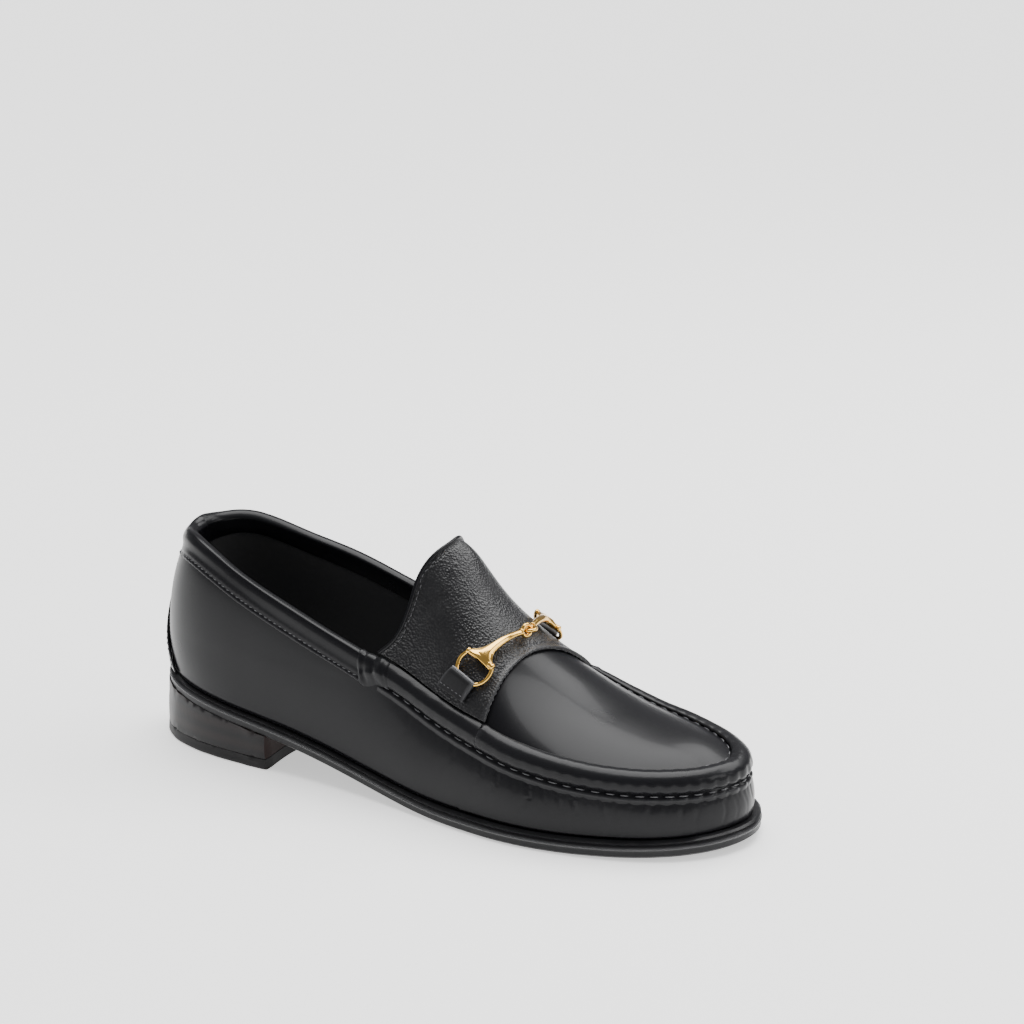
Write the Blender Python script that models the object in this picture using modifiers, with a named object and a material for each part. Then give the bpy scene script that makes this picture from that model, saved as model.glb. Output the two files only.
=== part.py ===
"""Bit loafer, the right shoe of a pair.

A leather upper with a rolled apron seam, an instep piece that ends in a free tongue,
a leather sole on a stacked heel, and a two-part metal bit held by two leather loops.
Metres. +X points to the toe, +Y to the inner (medial) side, +Z up. The origin is on
the floor under the middle of the shoe.
"""
import math

import bmesh
import bpy
import numpy as np
from mathutils import Matrix, Vector

# Driving sizes
LENGTH = 0.302
BALL_WIDTH = 0.103
INSTEP_HEIGHT = 0.100
HEEL_BACK = 0.0257
HEEL_BREAST = 0.0152
SOLE_EDGE = 0.0075
TOE_SPRING = 0.0030
BREAST_SHARE = 0.247
FLAT_START_SHARE = 0.60
FLAT_END_SHARE = 0.73

# Leather and clearances
WALL = 0.0018
GAP = 0.0004
FACE_GAP = 0.0003
EDGE_ROUND = 0.0008
TONGUE_THICKNESS = 0.0015
INSOLE_THICKNESS = 0.0030
BINDING_THICKNESS = 0.0011
BINDING_DEPTH = 0.0105
BINDING_INNER_DEPTH = 0.0080
BINDING_TOP = 0.0014
STAY_THICKNESS = 0.0010
STAY_GAP = 0.0006
STAY_TOP_WIDTH = 0.016
STAY_FOOT_WIDTH = 0.062
LIFT_THICKNESS = 0.0050
HEEL_TAPER = 0.0012
BREAST_HOLLOW = 0.0030

# Apron seam and throat
LATERAL_CORNER_SHARE = 0.44
MEDIAL_CORNER_SHARE = 0.455
TOE_ARC_SHARE = 0.93
THROAT_SET = 0.0035
TONGUE_BOW = 0.0050
SEAM_LATERAL_SHARE = 0.635
SEAM_MEDIAL_SHARE = 0.662
SEAM_BOW = 0.003
ROLL_FOOT = 0.0050
ROLL_GAP = 0.0004
ROLL_PART = 0.0003
CORNER_CLEAR = 0.0030

# Bit and its loops
KNUCKLE_SHARE = 0.624
HEAD_REACH = 0.0232
HEAD_BACK_LATERAL = 0.0060
HEAD_BACK_MEDIAL = 0.0040
KNUCKLE_LIFT = 0.0052
HEAD_LIFT = 0.0036
RING_LIFT = 0.0025
WIRE_RADIUS = 0.0009
RING_RADIUS = 0.0076
RING_CHORD = 0.0045
BARREL_RADIUS = 0.0021
BARREL_LENGTH = 0.0116
NECK_LENGTH = 0.0080
NECK_RADIUS = 0.0042
NECK_THINNESS = 0.42
BAR_RADIUS = 0.0014
EYE_RADIUS = 0.0026
TAB_WIDTH = 0.0125
TAB_FOLD = 0.0026
TAB_COLUMNS = 5
WELD = 0.00001

# Counts of stations, rows and sides
REAR_STEPS = 17
FRONT_STEPS = 18
TOE_STEPS = 12
WALL_ROWS = 7
BREAST_STEPS = 8
HEEL_STEPS = 28
TONGUE_ROWS = 12
TONGUE_COLUMNS = 17
STAY_ROWS = 8
STAY_HALF = 5
RING_STEPS = 16
ROUND_SIDES = 10
WIRE_RESOLUTION = 2
SHARP_ANGLE = math.radians(40)


class Table:
    """Rows of named columns, read at any key as a smooth curve through them."""

    def __init__(self, names, rows):
        self.names = names.split()
        self.columns = dict(zip(self.names, np.array(rows, dtype=float).T))

    def at(self, name, key):
        return smooth(self.columns[self.names[0]], self.columns[name], key)


def smooth(keys, values, key):
    """Cubic curve through the values, with slopes taken from their neighbours."""
    slopes = np.gradient(values, keys)
    key = np.clip(np.asarray(key, dtype=float), keys[0], keys[-1])
    low = np.clip(np.searchsorted(keys, key, side="right") - 1, 0, len(keys) - 2)
    step = keys[low + 1] - keys[low]
    t = (key - keys[low]) / step
    return (values[low] * (2 * t**3 - 3 * t**2 + 1)
            + slopes[low] * step * (t**3 - 2 * t**2 + t)
            + values[low + 1] * (3 * t**2 - 2 * t**3)
            + slopes[low + 1] * step * (t**3 - t**2))


# Sole outline: half widths as shares of the ball width, along the length
OUTLINE = Table("share lateral medial", [
    (0.000, 0.000, 0.000),
    (0.015, 0.145, 0.140),
    (0.050, 0.244, 0.241),
    (0.100, 0.310, 0.300),
    (0.160, 0.342, 0.322),
    (0.220, 0.350, 0.318),
    (0.300, 0.355, 0.298),
    (0.380, 0.371, 0.288),
    (0.460, 0.404, 0.312),
    (0.540, 0.449, 0.374),
    (0.620, 0.487, 0.442),
    (0.690, 0.506, 0.482),
    (0.760, 0.489, 0.490),
    (0.830, 0.441, 0.463),
    (0.890, 0.374, 0.412),
    (0.940, 0.281, 0.338),
    (0.975, 0.171, 0.244),
    (0.995, 0.049, 0.130),
    (1.000, -0.045, 0.045),
])

# Top of the upper's wall, the collar behind the throat and the apron seam before it:
# insets as shares of the ball width, heights over the sole as shares of the instep
TOP = Table("share lateral_inset lateral_height medial_inset medial_height", [
    (0.00, 0.126, 0.604, 0.126, 0.604),
    (0.03, 0.105, 0.652, 0.105, 0.655),
    (0.08, 0.084, 0.688, 0.084, 0.690),
    (0.13, 0.072, 0.672, 0.070, 0.678),
    (0.18, 0.064, 0.632, 0.056, 0.662),
    (0.22, 0.060, 0.600, 0.044, 0.654),
    (0.27, 0.057, 0.564, 0.030, 0.646),
    (0.33, 0.059, 0.530, 0.020, 0.632),
    (0.40, 0.069, 0.500, 0.014, 0.602),
    (0.44, 0.082, 0.480, 0.012, 0.568),
    (0.49, 0.100, 0.448, 0.030, 0.512),
    (0.54, 0.108, 0.408, 0.060, 0.472),
    (0.61, 0.106, 0.360, 0.090, 0.432),
    (0.68, 0.099, 0.316, 0.106, 0.382),
    (0.74, 0.093, 0.290, 0.112, 0.332),
    (0.80, 0.089, 0.268, 0.113, 0.298),
    (0.86, 0.088, 0.251, 0.110, 0.280),
    (0.92, 0.088, 0.240, 0.104, 0.258),
    (0.97, 0.088, 0.233, 0.096, 0.242),
    (1.00, 0.088, 0.230, 0.088, 0.230),
])

# Wall shape: inset of its foot, and how far its two handles lie outside foot and top
BODY = Table("share lateral_foot medial_foot low high", [
    (0.00, 0.020, 0.020, 0.030, 0.098),
    (0.08, 0.020, 0.020, 0.026, 0.078),
    (0.18, 0.020, 0.020, 0.020, 0.052),
    (0.33, 0.022, 0.016, 0.018, 0.036),
    (0.50, 0.028, 0.022, 0.014, 0.030),
    (0.65, 0.036, 0.034, 0.010, 0.034),
    (0.80, 0.037, 0.036, 0.010, 0.040),
    (0.92, 0.036, 0.036, 0.012, 0.046),
    (1.00, 0.036, 0.036, 0.014, 0.050),
])
LOW_HANDLE_RISE = 0.34
HIGH_HANDLE_RISE = 0.76

# Middle of the instep and vamp: height over the sole as a share of the instep, how
# full its cross-section is from a parabola at 0 to a half circle at 1, and how peaked
CROWN = Table("share height fullness peak", [
    (0.40, 1.290, 0.20, 1.40),
    (0.45, 1.175, 0.30, 1.38),
    (0.48, 1.090, 0.45, 1.34),
    (0.51, 0.995, 0.62, 1.25),
    (0.54, 0.900, 0.76, 1.15),
    (0.57, 0.808, 0.86, 1.06),
    (0.60, 0.720, 0.92, 1.00),
    (0.63, 0.640, 0.94, 1.00),
    (0.66, 0.575, 0.93, 1.00),
    (0.70, 0.508, 0.90, 1.00),
    (0.76, 0.436, 0.84, 1.00),
    (0.83, 0.378, 0.75, 1.00),
    (0.90, 0.330, 0.65, 1.00),
    (0.95, 0.288, 0.55, 1.00),
    (1.00, 0.230, 0.50, 1.00),
])

# Rear edge of the tongue: how far it lies before the line between the throat corners
TONGUE_EDGE = Table("across advance", [
    (0.00, 0.0165),
    (0.35, 0.0134),
    (0.50, 0.0112),
    (0.70, 0.0106),
    (0.80, 0.0094),
    (0.92, 0.0064),
    (1.00, 0.0000),
])

# Edge of the sole from the bottom up: rise as a share of its height, inset in metres
SOLE_SIDE = Table("rise inset", [
    (0.00, 0.0016),
    (0.16, 0.0000),
    (0.60, 0.0000),
    (0.76, 0.0011),
    (0.90, 0.0001),
    (1.00, 0.0012),
])

# Section of the apron roll: distance past the seam line (wall side negative) and
# height of its skin over the leather
ROLL_SECTION = Table("distance height", [
    (-0.0056, 0.0009),
    (-0.0046, 0.0024),
    (-0.0026, 0.0033),
    (-0.0006, 0.0037),
    (0.0014, 0.0034),
    (0.0034, 0.0025),
    (0.0050, 0.0011),
])

# Section of a leather loop from its fold (0) to the apron roll (1): its underside and
# top over the instep piece
TAB_SECTION = Table("along low high", [
    (0.00, 0.0017, 0.0031),
    (0.07, 0.0007, 0.0042),
    (0.17, 0.0004, 0.0047),
    (0.38, 0.0004, 0.0045),
    (0.60, 0.0004, 0.0034),
    (0.82, 0.0004, 0.0026),
    (1.00, 0.0004, 0.0022),
])


def clear_scene():
    for item in list(bpy.data.objects):
        bpy.data.objects.remove(item, do_unlink=True)


def material(name, colour, roughness, metallic=0.0):
    item = bpy.data.materials.new(name)
    item.use_nodes = True
    shader = item.node_tree.nodes["Principled BSDF"]
    shader.inputs["Base Color"].default_value = (*colour, 1.0)
    shader.inputs["Roughness"].default_value = roughness
    shader.inputs["Metallic"].default_value = metallic
    return item


def add_mesh(name, points, faces, look, collection):
    """A named object from points and faces, its faces turned outward."""
    mesh = bpy.data.meshes.new(name)
    mesh.from_pydata([tuple(point) for point in points], [], faces)
    shape = bmesh.new()
    shape.from_mesh(mesh)
    bmesh.ops.recalc_face_normals(shape, faces=shape.faces[:])
    return add_shape(name, shape, mesh, look, collection)


def add_shape(name, shape, mesh, look, collection):
    """Object from a shape, shaded smooth between its sharp edges."""
    shape.to_mesh(mesh)
    shape.free()
    mesh.materials.append(look)
    mesh.shade_smooth()
    mesh.set_sharp_from_angle(angle=SHARP_ANGLE)
    solid = bpy.data.objects.new(name, mesh)
    collection.objects.link(solid)
    return solid


def unit(vector):
    return vector / np.linalg.norm(vector)


def share_of(x):
    return x / LENGTH + 0.5


def x_at(share):
    return (share - 0.5) * LENGTH


class Outline:
    """Closed plan curve of the sole, run from the heel round the lateral side."""

    def __init__(self):
        share = OUTLINE.columns["share"]
        lateral = np.c_[x_at(share), -OUTLINE.columns["lateral"] * BALL_WIDTH]
        medial = np.c_[x_at(share), OUTLINE.columns["medial"] * BALL_WIDTH]
        knots = np.vstack([lateral, medial[-2:0:-1]])
        ring = np.vstack([knots[-3:], knots, knots[:4]])
        run = np.concatenate([[0], np.cumsum(np.linalg.norm(np.diff(ring, axis=0), axis=1))])
        start, end = run[3], run[3 + len(knots)]
        dense = np.linspace(start, end, 1601)
        self.points = np.c_[smooth(run, ring[:, 0], dense), smooth(run, ring[:, 1], dense)]
        self.points -= (self.points.max(axis=0) + self.points.min(axis=0)) / 2
        steps = np.linalg.norm(np.diff(self.points, axis=0), axis=1)
        self.arc = np.concatenate([[0], np.cumsum(steps)])
        self.total = self.arc[-1]
        self.tip = int(np.argmax(self.points[:, 0]))

    def at(self, arc):
        arc = np.mod(arc, self.total)
        return np.array([np.interp(arc, self.arc, self.points[:, 0]),
                         np.interp(arc, self.arc, self.points[:, 1])])

    def outward(self, arc):
        reach = 0.0015
        along = unit(self.at(arc + reach) - self.at(arc - reach))
        return np.array([along[1], -along[0]])

    def lateral_arc(self, share):
        side = slice(0, self.tip + 1)
        return float(np.interp(x_at(share), self.points[side, 0], self.arc[side]))

    def medial_arc(self, share):
        side = slice(self.tip, None)
        return float(np.interp(-x_at(share), -self.points[side, 0], self.arc[side]))


OUTLINE_CURVE = Outline()
STATION_COUNT = 2 * REAR_STEPS + 2 * FRONT_STEPS + TOE_STEPS
TIP_STATION = STATION_COUNT // 2


def station_arcs():
    """Arc lengths of the stations, with one at the heel, each corner and the tip."""
    curve = OUTLINE_CURVE
    lateral_corner = curve.lateral_arc(LATERAL_CORNER_SHARE)
    lateral_toe = curve.lateral_arc(TOE_ARC_SHARE)
    medial_toe = curve.medial_arc(TOE_ARC_SHARE)
    medial_corner = curve.medial_arc(MEDIAL_CORNER_SHARE)
    spans = [(0.0, lateral_corner, REAR_STEPS), (lateral_corner, lateral_toe, FRONT_STEPS),
             (lateral_toe, medial_toe, TOE_STEPS), (medial_toe, medial_corner, FRONT_STEPS),
             (medial_corner, curve.total, REAR_STEPS)]
    arcs = [np.linspace(first, last, count, endpoint=False) for first, last, count in spans]
    return np.concatenate(arcs)


STATIONS = station_arcs()


def sole_bottom(x):
    """Height of the sole's underside: heel seat, arch, flat tread and toe spring."""
    breast, flat, lift = x_at(BREAST_SHARE), x_at(FLAT_START_SHARE), x_at(FLAT_END_SHARE)
    slope = (HEEL_BREAST - HEEL_BACK) / (breast - x_at(0.0))
    if x <= breast:
        return HEEL_BACK + slope * (x - x_at(0.0))
    if x < flat:
        run = flat - breast
        t = (x - breast) / run
        return (HEEL_BREAST * (2 * t**3 - 3 * t**2 + 1)
                + slope * run * (t**3 - 2 * t**2 + t))
    if x <= lift:
        return 0.0
    return TOE_SPRING * ((x - lift) / (x_at(1.0) - lift)) ** 2


def sole_top(x):
    return sole_bottom(x) + SOLE_EDGE


def side_share(arc, table, column):
    """The lateral or medial column of a table, read at one station."""
    curve = OUTLINE_CURVE
    side = "lateral" if np.mod(arc, curve.total) < curve.arc[curve.tip] else "medial"
    return float(table.at(side + "_" + column, share_of(curve.at(arc)[0])))


def wall_section(arc, count=25):
    """Points up the outside of the upper's wall at one station, foot to top."""
    base = OUTLINE_CURVE.at(arc)
    outward = OUTLINE_CURVE.outward(arc)
    share = share_of(base[0])
    foot = side_share(arc, BODY, "foot") * BALL_WIDTH
    top = side_share(arc, TOP, "inset") * BALL_WIDTH
    height = side_share(arc, TOP, "height") * INSTEP_HEIGHT
    low = foot - float(BODY.at("low", share)) * BALL_WIDTH
    high = top - float(BODY.at("high", share)) * BALL_WIDTH
    insets = np.array([foot, low, high, top])
    rises = np.array([0.0, LOW_HANDLE_RISE, HIGH_HANDLE_RISE, 1.0]) * (height - GAP)
    t = np.linspace(0.0, 1.0, count)
    weights = np.array([(1 - t) ** 3, 3 * (1 - t) ** 2 * t, 3 * (1 - t) * t**2, t**3])
    inset, rise = insets @ weights, rises @ weights
    floor = sole_top(base[0] - outward[0] * foot) + GAP
    return np.c_[base[0] - outward[0] * inset, base[1] - outward[1] * inset, floor + rise]


def run_of(points):
    return np.concatenate([[0], np.cumsum(np.linalg.norm(np.diff(points, axis=0), axis=1))])


def point_at(points, distance):
    run = run_of(points)
    return np.array([np.interp(distance, run, points[:, axis]) for axis in range(3)])


class Apron:
    """The domed top of the upper between its two seam lines, as a height over x and y."""

    def __init__(self):
        first = OUTLINE_CURVE.lateral_arc(0.40)
        last = OUTLINE_CURVE.medial_arc(0.40)
        middle = OUTLINE_CURVE.arc[OUTLINE_CURVE.tip]
        self.lateral = self.seam(np.linspace(first, middle, 90))
        self.medial = self.seam(np.linspace(last, middle, 90))

    def seam(self, arcs):
        line = np.array([wall_section(arc, 2)[-1] for arc in arcs])
        keep = np.concatenate([[True], np.diff(np.maximum.accumulate(line[:, 0])) > 0])
        return line[keep]

    def height(self, x, y):
        lateral_y = np.interp(x, self.lateral[:, 0], self.lateral[:, 1])
        medial_y = np.interp(x, self.medial[:, 0], self.medial[:, 1])
        lateral_z = np.interp(x, self.lateral[:, 0], self.lateral[:, 2])
        medial_z = np.interp(x, self.medial[:, 0], self.medial[:, 2])
        half = max((medial_y - lateral_y) / 2, 0.0005)
        across = np.clip((y - (lateral_y + medial_y) / 2) / half, -1.0, 1.0)
        seam = (lateral_z + medial_z) / 2 + across * (medial_z - lateral_z) / 2
        tip = self.lateral[-1, 0]
        share = share_of(x) + (1.0 - share_of(tip)) * max(0.0, share_of(x) - 0.9) / (share_of(tip) - 0.9)
        crown = sole_top(x) + float(CROWN.at("height", share)) * INSTEP_HEIGHT
        rise = max(crown - (lateral_z + medial_z) / 2, 0.0)
        full = float(CROWN.at("fullness", share))
        rim = math.sqrt(1.0 - full**2)
        dome = (math.sqrt(1.0 - (full * across) ** 2) - rim) / (1.0 - rim)
        return seam + rise * max(dome, 0.0) ** float(CROWN.at("peak", share))

    def point(self, x, y):
        return np.array([x, y, self.height(x, y)])

    def normal(self, x, y):
        step = 0.0004
        slope_x = (self.height(x + step, y) - self.height(x - step, y)) / (2 * step)
        slope_y = (self.height(x, y + step) - self.height(x, y - step)) / (2 * step)
        return unit(np.array([-slope_x, -slope_y, 1.0]))


APRON = Apron()


def apron_path(arc, reach=0.016, count=41):
    """Points over the apron from the seam line straight inward at one station."""
    seam = wall_section(arc, 2)[-1]
    inward = -OUTLINE_CURVE.outward(arc)
    steps = np.linspace(0.0, reach, count)
    plan = [seam[:2] + inward * step for step in steps]
    path = np.array([APRON.point(spot[0], spot[1]) for spot in plan])
    path[0] = seam
    return path


def wall_sample(arc, depth):
    """Point and outward normal on the wall, a distance below its top."""
    section = wall_section(arc)[::-1]
    reach = 0.0015
    point = point_at(section, depth)
    down = unit(point_at(section, depth + reach) - point_at(section, max(depth - reach, 0.0)))
    outward = np.append(OUTLINE_CURVE.outward(arc), 0.0)
    normal = unit(outward - down * outward.dot(down))
    return point, normal


def apron_sample(arc, distance):
    path = apron_path(arc)
    point = point_at(path, distance)
    return point, APRON.normal(point[0], point[1])


def seam_sample(arc, distance):
    """Point and normal past the seam line, on the apron if positive, else the wall."""
    if distance >= 0:
        return apron_sample(arc, distance)
    return wall_sample(arc, -distance)


def grid_faces(rows, columns, start=0, wrap=False):
    span = columns if wrap else columns - 1
    faces = []
    for row in range(rows - 1):
        for column in range(span):
            after = (column + 1) % columns
            a, b = start + row * columns + column, start + row * columns + after
            faces.append((a, b, b + columns, a + columns))
    return faces


def ladder_faces(ring, flip=False):
    """Cross strips that close a ring of stations, heel to toe."""
    count = len(ring)
    half = count // 2
    faces = [(ring[0], ring[1], ring[count - 1])]
    for i in range(1, half - 1):
        faces.append((ring[i], ring[i + 1], ring[count - i - 1], ring[count - i]))
    faces.append((ring[half - 1], ring[half], ring[half + 1]))
    return [face[::-1] for face in faces] if flip else faces


def tube_faces(rings, size):
    """Faces of a closed solid swept through rings of equal size, with flat ends."""
    faces = grid_faces(rings, size, wrap=True)
    faces.append(tuple(range(size)))
    faces.append(tuple((rings - 1) * size + i for i in reversed(range(size))))
    return faces


def slab_faces(rows, columns):
    """Faces of a closed sheet from two grids of points, one over the other."""
    size = rows * columns
    faces = grid_faces(rows, columns)
    faces += [tuple(reversed(face)) for face in grid_faces(rows, columns, start=size)]
    border = (list(range(columns)) + [(i + 1) * columns - 1 for i in range(1, rows)]
              + [(rows - 1) * columns + j for j in reversed(range(columns - 1))]
              + [i * columns for i in reversed(range(1, rows - 1))])
    for a, b in zip(border, border[1:] + border[:1]):
        faces.append((a, b, b + size, a + size))
    return faces


def inset_ring(inset, height):
    """Ring of station points at an inset; height is a function of x."""
    ring = []
    for arc in STATIONS:
        depth = inset(arc) if callable(inset) else inset
        spot = OUTLINE_CURVE.at(arc) - OUTLINE_CURVE.outward(arc) * depth
        ring.append((spot[0], spot[1], height(spot[0])))
    return ring


def make_outsole(look, collection):
    points, faces = [], []
    count = STATION_COUNT
    rises, insets = SOLE_SIDE.columns["rise"], SOLE_SIDE.columns["inset"]
    for rise, inset in zip(rises, insets):
        points += inset_ring(inset, lambda x, rise=rise: sole_bottom(x) + rise * SOLE_EDGE)
    faces += grid_faces(len(rises), count, wrap=True)
    faces += ladder_faces(list(range(count)), flip=True)
    faces += ladder_faces([(len(rises) - 1) * count + i for i in range(count)])
    add_mesh("outsole", points, faces, look, collection)


def insole_inset(arc):
    return side_share(arc, BODY, "foot") * BALL_WIDTH + WALL + 2 * GAP


def make_insole(look, collection):
    levels = ((EDGE_ROUND, FACE_GAP), (0.0, FACE_GAP + EDGE_ROUND),
              (EDGE_ROUND, FACE_GAP + INSOLE_THICKNESS))
    points = []
    for extra, rise in levels:
        points += inset_ring(lambda arc, extra=extra: insole_inset(arc) + extra,
                             lambda x, rise=rise: sole_top(x) + rise)
    count = STATION_COUNT
    faces = grid_faces(len(levels), count, wrap=True)
    faces += ladder_faces(list(range(count)), flip=True)
    faces += ladder_faces([(len(levels) - 1) * count + i for i in range(count)])
    add_mesh("insole", points, faces, look, collection)


def heel_ring(inset, height):
    """Outline of the heel at an inset, its breast hollowed toward the back."""
    curve = OUTLINE_CURVE
    front = x_at(BREAST_SHARE)
    arcs = np.linspace(curve.medial_arc(BREAST_SHARE) - curve.total,
                       curve.lateral_arc(BREAST_SHARE), HEEL_STEPS + 1)
    ring = [curve.at(arc) - curve.outward(arc) * inset for arc in arcs]
    ring[0][0] = ring[-1][0] = front
    first, last = ring[-1], ring[0]
    for t in np.linspace(0.0, 1.0, BREAST_STEPS + 1)[1:-1]:
        x = front - BREAST_HOLLOW * (1 - (2 * t - 1) ** 2)
        ring.append(np.array([x, first[1] + (last[1] - first[1]) * t]))
    return [(spot[0], spot[1], height(spot[0])) for spot in ring]


def make_heel(look, lift_look, collection):
    """Stacked block under the seat and the top lift it stands on."""
    bottom = LIFT_THICKNESS + FACE_GAP

    def block_top(x):
        return sole_bottom(x) - FACE_GAP

    block = [heel_ring(HEEL_TAPER, lambda x: bottom),
             heel_ring(HEEL_TAPER * 0.4, lambda x: (bottom + block_top(x)) / 2),
             heel_ring(HEEL_TAPER * 0.6, block_top)]
    lift = [heel_ring(HEEL_TAPER + EDGE_ROUND, lambda x: 0.0),
            heel_ring(HEEL_TAPER, lambda x: EDGE_ROUND),
            heel_ring(HEEL_TAPER, lambda x: LIFT_THICKNESS)]
    for name, rings, coat in (("heel_block", block, look), ("heel_top_lift", lift, lift_look)):
        points = [point for ring in rings for point in ring]
        add_mesh(name, points, tube_faces(len(rings), len(rings[0])), coat, collection)


def apron_columns():
    """Shares across the apron, closer together beside the seams."""
    return [math.sin(math.pi / 2 * (2 * j / TOE_STEPS - 1)) for j in range(TOE_STEPS + 1)]


def make_upper(look, collection):
    """Wall and apron as one open leather surface, given its thickness inward."""
    count = STATION_COUNT
    columns = apron_columns()
    points = []
    levels = np.linspace(0.0, 1.0, WALL_ROWS + 1)
    sections = [wall_section(arc, 41) for arc in STATIONS]
    for level in levels:
        for section in sections:
            run = run_of(section)
            points.append(point_at(section, level * run[-1]))
    faces = grid_faces(len(levels), count, wrap=True)
    top = [WALL_ROWS * count + i for i in range(count)]

    rows = []
    for step in range(FRONT_STEPS + 1):
        lateral, medial = top[REAR_STEPS + step], top[count - REAR_STEPS - step]
        fade = (1 - step / FRONT_STEPS) ** 1.5
        row = [lateral]
        for share in columns[1:-1]:
            blend = (share + 1) / 2
            plan = points[lateral][:2] * (1 - blend) + points[medial][:2] * blend
            advance = float(TONGUE_EDGE.at("advance", abs(share))) + THROAT_SET
            x = plan[0] + advance * fade
            row.append(len(points))
            points.append(APRON.point(x, plan[1]))
        row.append(medial)
        rows.append(row)

    toe = top[REAR_STEPS + FRONT_STEPS:REAR_STEPS + FRONT_STEPS + TOE_STEPS + 1]
    last = rows[-1]
    for t in (0.30, 0.58, 0.82):
        row = [last[0]]
        for j in range(1, TOE_STEPS):
            plan = points[last[j]][:2] * (1 - t) + points[toe[j]][:2] * t
            row.append(len(points))
            points.append(APRON.point(plan[0], plan[1]))
        row.append(last[-1])
        rows.append(row)
    rows.append(toe)

    for low, high in zip(rows, rows[1:]):
        for j in range(TOE_STEPS):
            corners = [low[j], low[j + 1], high[j + 1], high[j]]
            face = list(dict.fromkeys(corners))
            faces.append(tuple(reversed(face)))
    solid = add_mesh("upper", points, faces, look, collection)
    turn_out(solid)
    shell = solid.modifiers.new("leather", "SOLIDIFY")
    shell.thickness = WALL
    shell.offset = -1.0
    shell.use_even_offset = True
    shell.use_quality_normals = True


def turn_out(solid):
    """Make an open skin face away from the inside of the shoe."""
    top = max(solid.data.polygons, key=lambda face: face.center.z * (abs(face.center.y) < 0.02))
    if top.normal.z < 0:
        solid.data.flip_normals()


def foot_of_roll(side, share):
    """Plan point beside the roll, its distance from the seam measured on the leather."""
    arc = OUTLINE_CURVE.lateral_arc(share) if side < 0 else OUTLINE_CURVE.medial_arc(share)
    return apron_sample(arc, ROLL_FOOT + 2 * GAP)[0][:2]


def spread(count, reach):
    """Shares from -1 to 1, closer together toward both ends."""
    steps = [math.sin(math.pi / 2 * (2 * j / (count - 1) - 1) * reach) for j in range(count)]
    return [step / steps[-1] for step in steps]


def make_tongue(look, collection):
    """Instep piece over the apron, from the vamp seam back to its free rounded edge."""
    layers = [[], []]
    for row in range(TONGUE_ROWS):
        t = row / (TONGUE_ROWS - 1)
        lateral_share = SEAM_LATERAL_SHARE + (LATERAL_CORNER_SHARE - SEAM_LATERAL_SHARE) * t
        medial_share = SEAM_MEDIAL_SHARE + (MEDIAL_CORNER_SHARE - SEAM_MEDIAL_SHARE) * t
        lateral, medial = foot_of_roll(-1, lateral_share), foot_of_roll(1, medial_share)
        for share in spread(TONGUE_COLUMNS, 0.96):
            plan = (lateral * (1 - share) + medial * (1 + share)) / 2
            advance = float(TONGUE_EDGE.at("advance", abs(share))) * t**2
            bow = (TONGUE_BOW * t - SEAM_BOW) * (1 - t) * (1 - share**2)
            point = APRON.point(plan[0] + advance + bow, plan[1])
            normal = APRON.normal(point[0], point[1])
            layers[0].append(point + normal * GAP)
            layers[1].append(point + normal * (GAP + TONGUE_THICKNESS))
    faces = slab_faces(TONGUE_ROWS, TONGUE_COLUMNS)
    add_mesh("tongue", layers[0] + layers[1], faces, look, collection)


def roll_ring(arc):
    """Section of the apron roll at one station, wrapped over the seam line."""
    outer, inner = [], []
    for distance, height in zip(ROLL_SECTION.columns["distance"], ROLL_SECTION.columns["height"]):
        point, normal = seam_sample(arc, distance)
        outer.append(point + normal * (height + ROLL_GAP))
        inner.append(point + normal * ROLL_GAP)
    wall_normal, apron_normal = wall_sample(arc, 0.0006)[1], apron_sample(arc, 0.0006)[1]
    seam = wall_section(arc, 2)[-1]
    corner = seam + unit(wall_normal + apron_normal) * ROLL_GAP * 1.6
    inner[3] = corner
    return outer + inner[::-1]


def make_rolls(look, collection):
    """The raised apron seam in its three lengths, parted where the vamp seam meets it."""
    curve = OUTLINE_CURVE
    lateral_notch = curve.lateral_arc(SEAM_LATERAL_SHARE)
    medial_notch = curve.medial_arc(SEAM_MEDIAL_SHARE)
    lateral_end = curve.lateral_arc(LATERAL_CORNER_SHARE) + CORNER_CLEAR
    medial_end = curve.medial_arc(MEDIAL_CORNER_SHARE) - CORNER_CLEAR
    spans = (("apron_roll_lateral", lateral_end, lateral_notch - ROLL_PART),
             ("apron_roll_toe", lateral_notch + ROLL_PART, medial_notch - ROLL_PART),
             ("apron_roll_medial", medial_notch + ROLL_PART, medial_end))
    for name, first, last in spans:
        rings = [roll_ring(arc) for arc in arcs_between(first, last)]
        points = [point for ring in rings for point in ring]
        add_mesh(name, points, tube_faces(len(rings), len(rings[0])), look, collection)


def arcs_between(first, last):
    """Both end arcs and the stations between them that are clear of the ends."""
    clear = 0.002
    arcs = np.concatenate([STATIONS - OUTLINE_CURVE.total, STATIONS])
    return [first] + [arc for arc in arcs if first + clear < arc < last - clear] + [last]


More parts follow.
